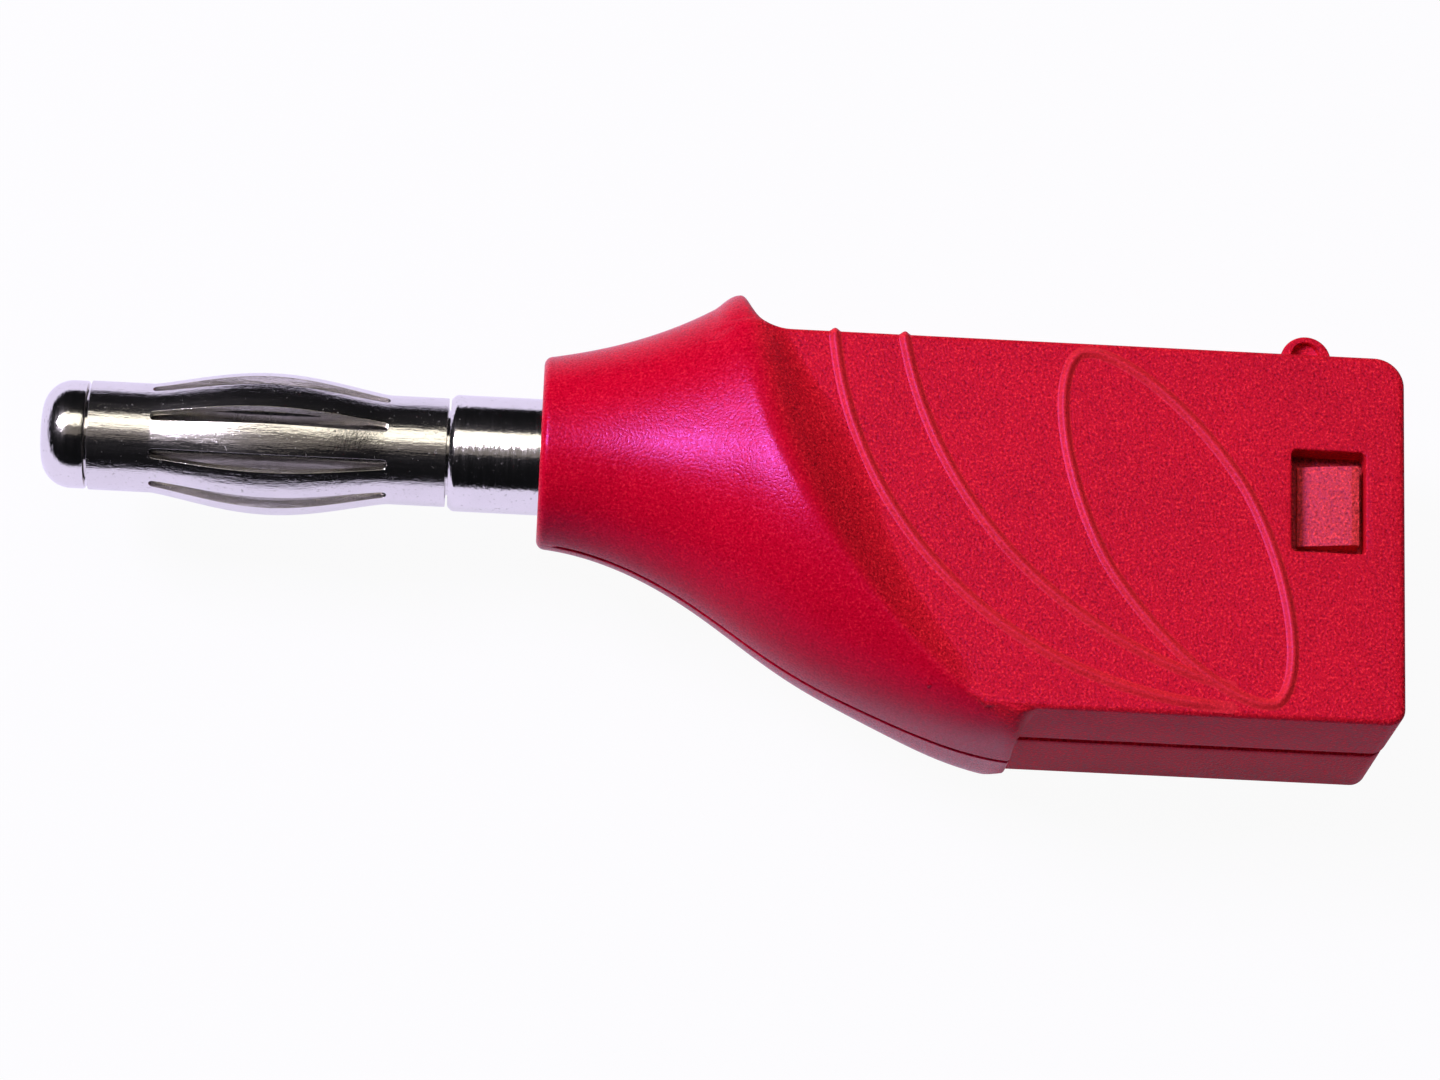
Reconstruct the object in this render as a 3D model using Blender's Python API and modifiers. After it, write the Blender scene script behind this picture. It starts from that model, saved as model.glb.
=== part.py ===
"""Stackable banana plug, 4 mm system, built from its separate pieces.

A nickel-plated pin with a bowed spring sleeve stands out of a red moulded housing. Inside, the pin
is staked into a terminal block, with a socket behind it for the next plug and a clamp screw for
the wire. A red insert is pushed in from the rear and snaps into the two windows of the housing.

All shapes are drawn in the plug's own axes: X runs back along the pin's axis from the housing's
front face, Y goes across the body and Z up through its thickness. One empty carries those axes,
placed so that the world origin is under the middle of the whole plug.
"""
import math

import bmesh
import bpy
from mathutils import Vector

MM = 0.001

# Fits between pieces
SLIDE_GAP = 0.10 * MM
CAVITY_GAP = 0.15 * MM
SEAT_GAP = 0.30 * MM
WELD = 0.001 * MM

# Pin and spring sleeve, stations measured forward from the housing's front face
TIP_LENGTH = 16.60 * MM
TIP_RADIUS = 1.80 * MM
TIP_NOSE_RADIUS = 0.80 * MM
TIP_HEAD_LENGTH = 1.50 * MM
CORE_RADIUS = 1.42 * MM
COLLAR_RADIUS = 1.95 * MM
COLLAR_STICKOUT = 3.02 * MM
COLLAR_CHAMFER = 0.12 * MM
SLEEVE_RADIUS = 1.82 * MM
SLEEVE_WALL = 0.28 * MM
SLEEVE_END_GAP = 0.10 * MM
LEAF_COUNT = 9
SLOT_WIDTH = 0.20 * MM
SLOT_FRONT_MARGIN = 2.10 * MM
SLOT_REAR_MARGIN = 1.98 * MM
BOW_RADIUS = 2.36 * MM
SLEEVE_TURN = math.radians(14.5)

# Housing: round neck that flares to a slanting ridge, then a flat body
NECK_TOP = 3.36 * MM
NECK_BOTTOM = 3.08 * MM
NECK_HALF_HEIGHT = 3.20 * MM
NECK_EDGE = 0.30 * MM
RIDGE_TOP = 5.31 * MM
RIDGE_BOTTOM = 9.97 * MM
RIDGE_HALF_HEIGHT = 5.20 * MM
RIDGE_SQUARENESS = 3.2
RIDGE_TOP_X = 6.70 * MM
RIDGE_BOTTOM_X = 16.07 * MM
RIDGE_ARC_RADIUS = 20.00 * MM
RIDGE_BACK_LENGTH = 1.80 * MM
RIDGE_LIP = 0.15 * MM
BODY_TOP = 3.63 * MM
BODY_BOTTOM = 8.98 * MM
BODY_HALF_HEIGHT = 4.00 * MM
BODY_REAR = 28.46 * MM
BODY_EDGE = 0.20 * MM
REAR_TOP_CORNER = 1.00 * MM
REAR_BOTTOM_CORNER = 0.55 * MM
HOUSING_WALL = 0.85 * MM
CAVITY_FRONT = 13.00 * MM
CAVITY_CORNER = 0.50 * MM
SEAM_DEPTH = 0.10 * MM
SEAM_WIDTH = 0.14 * MM
SEAM_START = 0.60 * MM

# Raised lines on the faces of the body
RIB_BEAD_RADIUS = 0.25 * MM
RIB_HEIGHT = 0.15 * MM
FRONT_RIB_ARC = (23.05 * MM, 4.94 * MM, 13.60 * MM)
REAR_RIB_ARC = (26.13 * MM, 6.17 * MM, 14.54 * MM)
RIB_END_X = 23.00 * MM
OVAL_CENTRE = (20.95 * MM, -2.62 * MM)
OVAL_HALF_LENGTH = 6.70 * MM
OVAL_HALF_WIDTH = 2.65 * MM
OVAL_POWER = 1.7
OVAL_ANGLE = math.radians(-60.5)

# Half-round boss on the top edge of the body
BOSS_X = 25.20 * MM
BOSS_RADIUS = 0.84 * MM
BOSS_STANDOUT = 0.68 * MM
BOSS_END_STEP = 0.25 * MM
BOSS_DIMPLE_RADIUS = 0.47 * MM
BOSS_DIMPLE_DEPTH = 0.50 * MM

# Latch windows in both faces, and the wedges of the insert that fill them
WINDOW_LENGTH = 2.44 * MM
WINDOW_WIDTH = 3.50 * MM
WINDOW_REAR_WALL = 1.31 * MM
WINDOW_CENTRE_Y = -1.49 * MM
WINDOW_CORNER = 0.15 * MM
WEDGE_SIDE_GAP = 0.38 * MM
WEDGE_FRONT_GAP = 0.28 * MM
WEDGE_REAR_GAP = 0.17 * MM
WEDGE_RECESS = 0.30 * MM
WEDGE_CREST = 0.25 * MM
WEDGE_RAMP_DROP = 0.45 * MM

# Pieces inside the body
BLOCK_LENGTH = 4.00 * MM
BLOCK_EDGE = 0.25 * MM
SHANK_RADIUS = 1.40 * MM
SHANK_REACH = 1.70 * MM
SOCKET_BORE_RADIUS = 2.03 * MM
SOCKET_WALL = 0.37 * MM
SOCKET_DEPTH = 8.60 * MM
MOUTH_RADIUS = 2.15 * MM
INSERT_REAR_PLATE = 1.00 * MM
INSERT_CORNER = 0.35 * MM
WIRE_Y = -5.30 * MM
CABLE_HOLE_RADIUS = 1.80 * MM
WIRE_HOLE_RADIUS = 1.10 * MM
SCREW_RADIUS = 1.25 * MM
SCREW_LENGTH = 1.75 * MM
SCREW_SLOT_WIDTH = 0.40 * MM
SCREW_SLOT_DEPTH = 0.60 * MM

# Fineness of the round forms
RING_POINTS = 48
TURN_STEPS = 32
RIB_ARC_STEPS = 22
OVAL_STEPS = 36
LEAF_COLUMNS = 4
SLOT_ROWS = 14

for old in list(bpy.data.objects):
    bpy.data.objects.remove(old, do_unlink=True)

parts = bpy.data.collections.new("banana_plug")
cutters = bpy.data.collections.new("cutters")
bpy.context.scene.collection.children.link(parts)
bpy.context.scene.collection.children.link(cutters)

plug_axes = bpy.data.objects.new("plug_axes", None)
plug_axes.location = (
    (TIP_LENGTH - BODY_REAR) / 2,
    (RIDGE_BOTTOM - RIDGE_TOP) / 2,
    RIDGE_HALF_HEIGHT,
)
parts.objects.link(plug_axes)


def plastic(name, colour, roughness):
    """Opaque moulded plastic."""
    material = bpy.data.materials.new(name)
    material.use_nodes = True
    shader = material.node_tree.nodes["Principled BSDF"]
    shader.inputs["Base Color"].default_value = (*colour, 1.0)
    shader.inputs["Roughness"].default_value = roughness
    shader.inputs["Metallic"].default_value = 0.0
    material.diffuse_color = (*colour, 1.0)
    return material


def plated(name, colour, roughness):
    """Metal with a plated or bare finish."""
    material = plastic(name, colour, roughness)
    material.node_tree.nodes["Principled BSDF"].inputs["Metallic"].default_value = 1.0
    return material


def add_part(name, mesh, material, smooth_angle=math.radians(35)):
    """A finished piece, standing in the plug's axes."""
    mesh.shade_smooth()
    mesh.set_sharp_from_angle(angle=smooth_angle)
    piece = bpy.data.objects.new(name, mesh)
    piece.data.materials.append(material)
    piece.parent = plug_axes
    parts.objects.link(piece)
    return piece


def add_cutter(name, mesh):
    """A guide solid that is joined to or cut from a piece and is not itself a piece."""
    guide = bpy.data.objects.new(name, mesh)
    guide.parent = plug_axes
    guide.hide_render = True
    guide.display_type = "WIRE"
    cutters.objects.link(guide)
    return guide


def combine(piece, guide, operation):
    """Boolean of the guide into the piece, kept live."""
    step = piece.modifiers.new(guide.name, "BOOLEAN")
    step.operation = operation
    step.solver = "EXACT"
    step.object = guide


def mesh_from(name, build):
    """A mesh filled by a function that works on a bmesh."""
    mesh = bpy.data.meshes.new(name)
    bm = bmesh.new()
    build(bm)
    bm.normal_update()
    bmesh.ops.recalc_face_normals(bm, faces=bm.faces)
    bm.to_mesh(mesh)
    bm.free()
    return mesh


def box_mesh(name, low, high, edge=0.0, only_along=None, segments=2):
    """A box between two corners, with some or all of its edges rounded."""
    def build(bm):
        made = bmesh.ops.create_cube(bm, size=1.0)
        size = [b - a for a, b in zip(low, high)]
        middle = [(a + b) / 2 for a, b in zip(low, high)]
        bmesh.ops.scale(bm, vec=size, verts=made["verts"])
        bmesh.ops.translate(bm, vec=middle, verts=made["verts"])
        if edge > 0:
            chosen = [
                e for e in bm.edges
                if only_along is None
                or abs(e.verts[0].co[only_along] - e.verts[1].co[only_along]) > WELD
            ]
            bmesh.ops.bevel(bm, geom=chosen, offset=edge, segments=segments, profile=0.5,
                            affect="EDGES")
    return mesh_from(name, build)


def rod_mesh(name, radius, start, end, axis="X", centre=(0.0, 0.0), steps=TURN_STEPS):
    """A plain cylinder along one of the plug's axes; centre holds the other two coordinates."""
    def build(bm):
        made = bmesh.ops.create_cone(bm, cap_ends=True, segments=steps, radius1=radius,
                                     radius2=radius, depth=end - start)
        middle = (start + end) / 2
        for vert in made["verts"]:
            across, up, along = vert.co
            if axis == "X":
                vert.co = (along + middle, across + centre[0], up + centre[1])
            else:
                vert.co = (across + centre[0], up + centre[1], along + middle)
    return mesh_from(name, build)


def turned_mesh(name, profile):
    """A turned solid; profile holds (radius, station forward of the housing), tip first."""
    mesh = bpy.data.meshes.new(name + "_profile")
    points = [(radius, 0.0, station) for radius, station in profile]
    mesh.from_pydata(points, [(i, i + 1) for i in range(len(points) - 1)], [])
    blank = bpy.data.objects.new(name + "_profile", mesh)
    cutters.objects.link(blank)
    turn = blank.modifiers.new("turn", "SCREW")
    turn.axis = "Z"
    turn.angle = math.tau
    turn.steps = TURN_STEPS
    turn.render_steps = TURN_STEPS
    turn.use_merge_vertices = True
    turn.merge_threshold = WELD
    graph = bpy.context.evaluated_depsgraph_get()
    solid = bpy.data.meshes.new_from_object(blank.evaluated_get(graph))
    bpy.data.objects.remove(blank, do_unlink=True)
    for vert in solid.vertices:
        across, up, along = vert.co
        vert.co = (-along, up, across)
    solid.name = name
    return solid


def curve_mesh(name, routes, bead=0.0, closed=False, extrude=0.0):
    """A bead swept along each route, or a flat outline with thickness, as one closed mesh."""
    curve = bpy.data.curves.new(name, "CURVE")
    curve.dimensions = "2D" if extrude else "3D"
    curve.fill_mode = "BOTH" if extrude else "FULL"
    curve.extrude = extrude
    curve.bevel_depth = bead
    curve.bevel_resolution = 2
    curve.use_fill_caps = True
    for route in routes:
        spline = curve.splines.new("POLY")
        spline.points.add(len(route) - 1)
        for point, place in zip(spline.points, route):
            point.co = (*place, 1.0)
        spline.use_cyclic_u = closed
    carrier = bpy.data.objects.new(name, curve)
    cutters.objects.link(carrier)
    graph = bpy.context.evaluated_depsgraph_get()
    mesh = bpy.data.meshes.new_from_object(carrier.evaluated_get(graph))
    bpy.data.objects.remove(carrier, do_unlink=True)
    bm = bmesh.new()
    bm.from_mesh(mesh)
    bmesh.ops.remove_doubles(bm, verts=bm.verts, dist=WELD)
    bmesh.ops.recalc_face_normals(bm, faces=bm.faces)
    bm.to_mesh(mesh)
    bm.free()
    return mesh


def ease(t, start_slope, end_slope):
    """Cubic from 0 to 1 with the given slopes at its ends."""
    return (start_slope * (t ** 3 - 2 * t ** 2 + t) + 3 * t ** 2 - 2 * t ** 3
            + end_slope * (t ** 3 - t ** 2))


def mix(a, b, share):
    return a + (b - a) * share


def arc_points(centre, radius, first, last, steps):
    """Points of a circular arc in plan, both ends included."""
    turns = [mix(first, last, i / steps) for i in range(steps + 1)]
    return [(centre[0] + radius * math.cos(a), centre[1] + radius * math.sin(a)) for a in turns]


def ridge_x(y):
    """Where the ridge's crest lies in plan: an arc through its two ends, hollow to the rear."""
    along = Vector((RIDGE_BOTTOM_X - RIDGE_TOP_X, -RIDGE_BOTTOM - RIDGE_TOP))
    middle = Vector((RIDGE_TOP_X + RIDGE_BOTTOM_X, RIDGE_TOP - RIDGE_BOTTOM)) / 2
    reach = math.sqrt(RIDGE_ARC_RADIUS ** 2 - (along.length / 2) ** 2)
    centre = middle + Vector((-along.y, along.x)).normalized() * reach
    return centre.x - math.sqrt(RIDGE_ARC_RADIUS ** 2 - (y - centre.y) ** 2)


def section(top, bottom, height, power):
    """Rounded section across the pin's axis, as (y, z) pairs at even angles."""
    half_width = (top + bottom) / 2
    middle = (top - bottom) / 2
    points = []
    for i in range(RING_POINTS):
        angle = math.tau * i / RING_POINTS
        reach = (abs(math.cos(angle) / half_width) ** power
                 + abs(math.sin(angle) / height) ** power) ** (-1 / power)
        points.append((middle + reach * math.cos(angle), reach * math.sin(angle)))
    return points


def bell_mesh(name, inset):
    """The neck, lofted from a circle to the slanting ridge and back down into the body.

    The flanks on both sides of the ridge aim at a peak that stands above it by the lip, and the
    ridge itself stays below that peak, which rounds it.
    """
    crest = section(RIDGE_TOP, RIDGE_BOTTOM, RIDGE_HALF_HEIGHT, RIDGE_SQUARENESS)
    crest_x = [ridge_x(y) for y, z in crest]
    peak_top = RIDGE_TOP + RIDGE_LIP
    peak_height = RIDGE_HALF_HEIGHT + RIDGE_LIP
    rings = []

    def neck_ring(t, x_of, shrink, lip=0.0):
        top = mix(NECK_TOP, peak_top, ease(t, 0.45, 1.80)) - shrink - lip
        bottom = mix(NECK_BOTTOM, RIDGE_BOTTOM, ease(t, 0.206, 0.181)) - shrink
        height = mix(NECK_HALF_HEIGHT, peak_height, ease(t, 0.30, 1.80)) - shrink - lip
        power = mix(2.0, RIDGE_SQUARENESS, t * t)
        ring = section(top, bottom, height, power)
        rings.append([(x_of(x), y, z) for x, (y, z) in zip(crest_x, ring)])

    edge_steps = 3
    for i in range(edge_steps):
        angle = math.pi / 2 * i / edge_steps
        depth = NECK_EDGE * (1 - math.cos(angle))
        neck_ring(0.0, lambda x, d=depth: d, inset + NECK_EDGE * (1 - math.sin(angle)))
    neck_steps = 13
    for t in [i / neck_steps for i in range(neck_steps)] + [0.955]:
        neck_ring(t, lambda x, t=t: mix(NECK_EDGE, x, t), inset)
    neck_ring(1.0, lambda x: x, inset, RIDGE_LIP)

    root_depth = 0.40 * MM
    for s in (0.12, 0.28, 0.48, 0.72, 1.0):
        share = ease(s, 1.2, 0.5)
        ring = section(
            mix(peak_top, BODY_TOP - root_depth, share) - inset,
            mix(RIDGE_BOTTOM, BODY_BOTTOM - root_depth, share) - inset,
            mix(peak_height, BODY_HALF_HEIGHT - root_depth, share) - inset,
            mix(RIDGE_SQUARENESS, 6.0, share),
        )
        rings.append([(x + s * RIDGE_BACK_LENGTH, y, z) for x, (y, z) in zip(crest_x, ring)])

    def build(bm):
        loops = [[bm.verts.new(place) for place in ring] for ring in rings]
        for fore, aft in zip(loops, loops[1:]):
            for i in range(RING_POINTS):
                j = (i + 1) % RING_POINTS
                bm.faces.new((fore[i], fore[j], aft[j], aft[i]))
        bm.faces.new(loops[0])
        hub = bm.verts.new(sum((vert.co for vert in loops[-1]), Vector()) / RING_POINTS)
        for i in range(RING_POINTS):
            bm.faces.new((loops[-1][i], loops[-1][(i + 1) % RING_POINTS], hub))
    return mesh_from(name, build)


def body_mesh(name, inset):
    """The flat body: a plan outline with thickness, its front end hidden inside the ridge."""
    top = BODY_TOP - inset
    bottom = -BODY_BOTTOM + inset
    rear = BODY_REAR - inset
    steps = 14
    outline = []
    for i in range(steps + 1):
        y = mix(top, bottom, i / steps)
        outline.append((ridge_x(y), y))
    low_corner = (rear - REAR_BOTTOM_CORNER, bottom + REAR_BOTTOM_CORNER)
    outline += arc_points(low_corner, REAR_BOTTOM_CORNER, -math.pi / 2, 0.0, 4)
    high_corner = (rear - REAR_TOP_CORNER, top - REAR_TOP_CORNER)
    outline += arc_points(high_corner, REAR_TOP_CORNER, 0.0, math.pi / 2, 6)
    mesh = curve_mesh(name, [[(x, y, 0.0) for x, y in outline]], closed=True,
                      extrude=BODY_HALF_HEIGHT - inset)
    bm = bmesh.new()
    bm.from_mesh(mesh)
    bmesh.ops.dissolve_limit(bm, angle_limit=math.radians(0.5), verts=bm.verts, edges=bm.edges)
    rims = [e for e in bm.edges if abs(e.verts[0].co.z - e.verts[1].co.z) < WELD]
    bmesh.ops.bevel(bm, geom=rims, offset=BODY_EDGE, segments=2, profile=0.5, affect="EDGES")
    bmesh.ops.recalc_face_normals(bm, faces=bm.faces)
    bm.to_mesh(mesh)
    bm.free()
    return mesh


def rib_route(arc):
    """One raised line: up the underside, over the top edge and down the upper face."""
    centre_x, centre_y, radius = arc
    sink = RIB_BEAD_RADIUS - RIB_HEIGHT
    level = BODY_HALF_HEIGHT - sink
    wall = BODY_TOP - sink
    first = math.pi + math.asin((centre_y - wall) / radius)
    last = math.tau - math.acos((RIB_END_X - centre_x) / radius)
    face = arc_points((centre_x, centre_y), radius, first, last, RIB_ARC_STEPS)
    bend = 0.12 * MM
    over = [(face[0][0], wall, level - bend), (face[0][0], wall - bend, level)]
    upper = over + [(x, y, level) for x, y in face[1:]]
    lower = [(x, y, -z) for x, y, z in reversed(upper)]
    return lower + upper


def oval_routes():
    """The raised rim of the pointed oval on both faces."""
    level = BODY_HALF_HEIGHT - (RIB_BEAD_RADIUS - RIB_HEIGHT)
    cos_tilt = math.cos(OVAL_ANGLE)
    sin_tilt = math.sin(OVAL_ANGLE)
    route = []
    for i in range(OVAL_STEPS):
        angle = math.tau * i / OVAL_STEPS
        along = OVAL_HALF_LENGTH * math.copysign(abs(math.cos(angle)) ** (2 / OVAL_POWER),
                                                 math.cos(angle))
        across = OVAL_HALF_WIDTH * math.copysign(abs(math.sin(angle)) ** (2 / OVAL_POWER),
                                                 math.sin(angle))
        route.append((OVAL_CENTRE[0] + along * cos_tilt - across * sin_tilt,
                      OVAL_CENTRE[1] + along * sin_tilt + across * cos_tilt))
    return [[(x, y, side * level) for x, y in route] for side in (1, -1)]


def window_box():
    """Plan corners of the latch windows."""
    rear = BODY_REAR - WINDOW_REAR_WALL
    low = (rear - WINDOW_LENGTH, WINDOW_CENTRE_Y - WINDOW_WIDTH / 2)
    high = (rear, WINDOW_CENTRE_Y + WINDOW_WIDTH / 2)
    return low, high


def cavity_box(gap):
    """Corners of the space inside the body, drawn in by a gap on its sides."""
    low = (CAVITY_FRONT, -BODY_BOTTOM + HOUSING_WALL + gap, -BODY_HALF_HEIGHT + HOUSING_WALL + gap)
    high = (BODY_REAR, BODY_TOP - HOUSING_WALL - gap, BODY_HALF_HEIGHT - HOUSING_WALL - gap)
    return low, high


def add_housing(material):
    housing = add_part("housing", bell_mesh("housing", 0.0), material)
    combine(housing, add_cutter("body_form", body_mesh("body_form", 0.0)), "UNION")

    boss_y = BODY_TOP + BOSS_STANDOUT - BOSS_RADIUS
    boss_end = BODY_HALF_HEIGHT - BOSS_END_STEP
    boss = add_cutter("edge_boss", rod_mesh("edge_boss", BOSS_RADIUS, -boss_end, boss_end, "Z",
                                            (BOSS_X, boss_y), 24))
    for side in (1, -1):
        ends = sorted((side * (boss_end - BOSS_DIMPLE_DEPTH), side * (boss_end + SEAT_GAP)))
        dimple = rod_mesh("boss_dimple", BOSS_DIMPLE_RADIUS, *ends, "Z", (BOSS_X, BODY_TOP), 16)
        combine(boss, add_cutter("boss_dimple_" + ("upper" if side > 0 else "lower"), dimple),
                "DIFFERENCE")
    combine(housing, boss, "UNION")

    for name, arc in (("front_rib", FRONT_RIB_ARC), ("rear_rib", REAR_RIB_ARC)):
        bead = curve_mesh(name, [rib_route(arc)], bead=RIB_BEAD_RADIUS)
        combine(housing, add_cutter(name, bead), "UNION")
    ovals = curve_mesh("oval_rims", oval_routes(), bead=RIB_BEAD_RADIUS, closed=True)
    combine(housing, add_cutter("oval_rims", ovals), "UNION")

    reach = BODY_REAR + 1 * MM
    plate = box_mesh("seam_plate", (SEAM_START, -RIDGE_BOTTOM - 1 * MM, -SEAM_WIDTH / 2),
                     (reach, RIDGE_TOP + 1 * MM, SEAM_WIDTH / 2))
    seam = add_cutter("seam_plate", plate)
    combine(seam, add_cutter("seam_bell", bell_mesh("seam_bell", SEAM_DEPTH)), "DIFFERENCE")
    combine(seam, add_cutter("seam_body", body_mesh("seam_body", SEAM_DEPTH)), "DIFFERENCE")
    combine(housing, seam, "DIFFERENCE")

    bore = rod_mesh("neck_bore", COLLAR_RADIUS + SLIDE_GAP, -1 * MM, CAVITY_FRONT + 1 * MM)
    combine(housing, add_cutter("neck_bore", bore), "DIFFERENCE")
    low, high = cavity_box(0.0)
    cavity = box_mesh("cavity", low, (reach, high[1], high[2]), CAVITY_CORNER, only_along=0)
    combine(housing, add_cutter("cavity", cavity), "DIFFERENCE")
    low, high = window_box()
    window = box_mesh("windows", (*low, -BODY_HALF_HEIGHT - 1 * MM),
                      (*high, BODY_HALF_HEIGHT + 1 * MM), WINDOW_CORNER, only_along=2)
    combine(housing, add_cutter("windows", window), "DIFFERENCE")
    return housing


def wedge_mesh(name, side):
    """A latch wedge: its ramp leads forward and its crest stands against the window's rear."""
    low, high = window_box()
    front = low[0] + WEDGE_FRONT_GAP
    rear = high[0] - WEDGE_REAR_GAP
    crest = BODY_HALF_HEIGHT - WEDGE_RECESS
    foot = BODY_HALF_HEIGHT - HOUSING_WALL - CAVITY_CORNER
    outline = [(front, foot), (front, crest - WEDGE_RAMP_DROP), (rear - WEDGE_CREST, crest),
               (rear, crest), (rear, foot)]
    half_width = WINDOW_WIDTH / 2 - WEDGE_SIDE_GAP

    def build(bm):
        flank = [bm.verts.new((x, WINDOW_CENTRE_Y - half_width, side * z)) for x, z in outline]
        face = bm.faces.new(flank)
        swept = bmesh.ops.extrude_face_region(bm, geom=[face])
        moved = [item for item in swept["geom"] if isinstance(item, bmesh.types.BMVert)]
        bmesh.ops.translate(bm, vec=(0.0, 2 * half_width, 0.0), verts=moved)
    return mesh_from(name, build)


def add_rear_insert(material):
    low, high = cavity_box(CAVITY_GAP)
    front = CAVITY_FRONT + SEAT_GAP + BLOCK_LENGTH + SEAT_GAP
    blank = box_mesh("rear_insert", (front, low[1], low[2]), high, INSERT_CORNER, only_along=0)
    insert = add_part("rear_insert", blank, material)
    for side, word in ((1, "upper"), (-1, "lower")):
        wedge = add_cutter("wedge_" + word, wedge_mesh("wedge_" + word, side))
        combine(insert, wedge, "UNION")

    plate_front = BODY_REAR - INSERT_REAR_PLATE
    channel_radius = SOCKET_BORE_RADIUS + SOCKET_WALL + SLIDE_GAP
    channel = rod_mesh("socket_channel", channel_radius, front - 1 * MM, plate_front)
    combine(insert, add_cutter("socket_channel", channel), "DIFFERENCE")
    flank = box_mesh("socket_flank", (front - 1 * MM, 0.0, -0.7 * channel_radius),
                     (plate_front, BODY_TOP, 0.7 * channel_radius))
    combine(insert, add_cutter("socket_flank", flank), "DIFFERENCE")
    mouth = rod_mesh("socket_mouth", MOUTH_RADIUS, plate_front - 1 * MM, BODY_REAR + 1 * MM)
    combine(insert, add_cutter("socket_mouth", mouth), "DIFFERENCE")
    cable = rod_mesh("cable_hole", CABLE_HOLE_RADIUS, front - 1 * MM, BODY_REAR + 1 * MM, "X",
                     (WIRE_Y, 0.0))
    combine(insert, add_cutter("cable_hole", cable), "DIFFERENCE")
    return insert


def add_contact_pin(material):
    """Turned pin: rounded head, thin core under the sleeve, collar through the neck, shank."""
    corner = TIP_RADIUS - TIP_NOSE_RADIUS
    profile = [(0.0, TIP_LENGTH)]
    corner_steps = 5
    for i in range(corner_steps + 1):
        angle = math.pi / 2 * i / corner_steps
        profile.append((TIP_NOSE_RADIUS + corner * math.sin(angle),
                        TIP_LENGTH - corner * (1 - math.cos(angle))))
    head_rear = TIP_LENGTH - TIP_HEAD_LENGTH
    break_edge = 0.05 * MM
    collar_rear = -(CAVITY_FRONT)
    profile += [
        (TIP_RADIUS, head_rear + break_edge),
        (TIP_RADIUS - break_edge, head_rear),
        (CORE_RADIUS, head_rear),
        (CORE_RADIUS, COLLAR_STICKOUT),
        (COLLAR_RADIUS - COLLAR_CHAMFER, COLLAR_STICKOUT),
        (COLLAR_RADIUS, COLLAR_STICKOUT - COLLAR_CHAMFER),
        (COLLAR_RADIUS, collar_rear),
        (SHANK_RADIUS, collar_rear),
        (SHANK_RADIUS, collar_rear - SEAT_GAP - SHANK_REACH),
        (0.0, collar_rear - SEAT_GAP - SHANK_REACH),
    ]
    return add_part("contact_pin", turned_mesh("contact_pin", profile), material)


def bow(share):
    """How far a leaf stands out from the sleeve: a smooth hump over its share of the slot."""
    if not 0.0 < share < 1.0:
        return 0.0
    return (BOW_RADIUS - SLEEVE_RADIUS) * math.sin(math.pi * share) ** 1.2


def add_spring_sleeve(material):
    """Rolled tube with slots: the strips between them are pressed out, each keeping its width."""
    front = TIP_LENGTH - TIP_HEAD_LENGTH - SLEEVE_END_GAP
    rear = COLLAR_STICKOUT + SLEEVE_END_GAP
    slot_angle = SLOT_WIDTH / SLEEVE_RADIUS
    leaf_angle = math.tau / LEAF_COUNT - slot_angle
    half_slot = SLOT_WIDTH / 2
    slot_front = front - SLOT_FRONT_MARGIN
    slot_rear = rear + SLOT_REAR_MARGIN
    inner = [mix(slot_front - half_slot, slot_rear + half_slot, i / SLOT_ROWS)
             for i in range(SLOT_ROWS + 1)]
    stations = [front, slot_front] + inner + [slot_rear, rear]
    first_open = 2
    last_open = len(stations) - 3

    def build(bm):
        columns = []
        for leaf in range(LEAF_COUNT):
            middle = SLEEVE_TURN + math.tau * leaf / LEAF_COUNT
            for i in range(LEAF_COLUMNS + 1):
                columns.append((middle, leaf_angle * (i / LEAF_COLUMNS - 0.5)))
            columns.append((middle, math.pi / LEAF_COUNT))
        rows = []
        for station in stations:
            row = []
            for middle, offset in columns:
                out = Vector((0.0, -math.sin(middle), math.cos(middle)))
                turn = middle + offset
                place = Vector((-station, -SLEEVE_RADIUS * math.sin(turn),
                                SLEEVE_RADIUS * math.cos(turn)))
                lift = bow((station - slot_rear) / (slot_front - slot_rear))
                row.append(bm.verts.new(place + out * lift))
            rows.append(row)
        count = len(columns)
        per_leaf = LEAF_COLUMNS + 2
        for r, (fore, aft) in enumerate(zip(rows, rows[1:])):
            for c in range(count):
                beside_slot = c % per_leaf >= LEAF_COLUMNS
                if beside_slot and first_open <= r < last_open:
                    continue
                d = (c + 1) % count
                if beside_slot and r == first_open - 1:
                    edge = (c, d) if c % per_leaf == LEAF_COLUMNS else (d, c)
                    bm.faces.new((fore[c], fore[d], aft[edge[0]]))
                elif beside_slot and r == last_open:
                    edge = (c, d) if c % per_leaf == LEAF_COLUMNS else (d, c)
                    bm.faces.new((fore[edge[0]], aft[c], aft[d]))
                else:
                    bm.faces.new((fore[c], fore[d], aft[d], aft[c]))
        loose = [v for v in bm.verts if not v.link_faces]
        bmesh.ops.delete(bm, geom=loose, context="VERTS")
    sleeve = add_part("spring_sleeve", mesh_from("spring_sleeve", build), material)
    wall = sleeve.modifiers.new("wall", "SOLIDIFY")
    wall.thickness = SLEEVE_WALL
    wall.offset = -1.0
    wall.use_even_offset = True
    return sleeve


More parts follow.
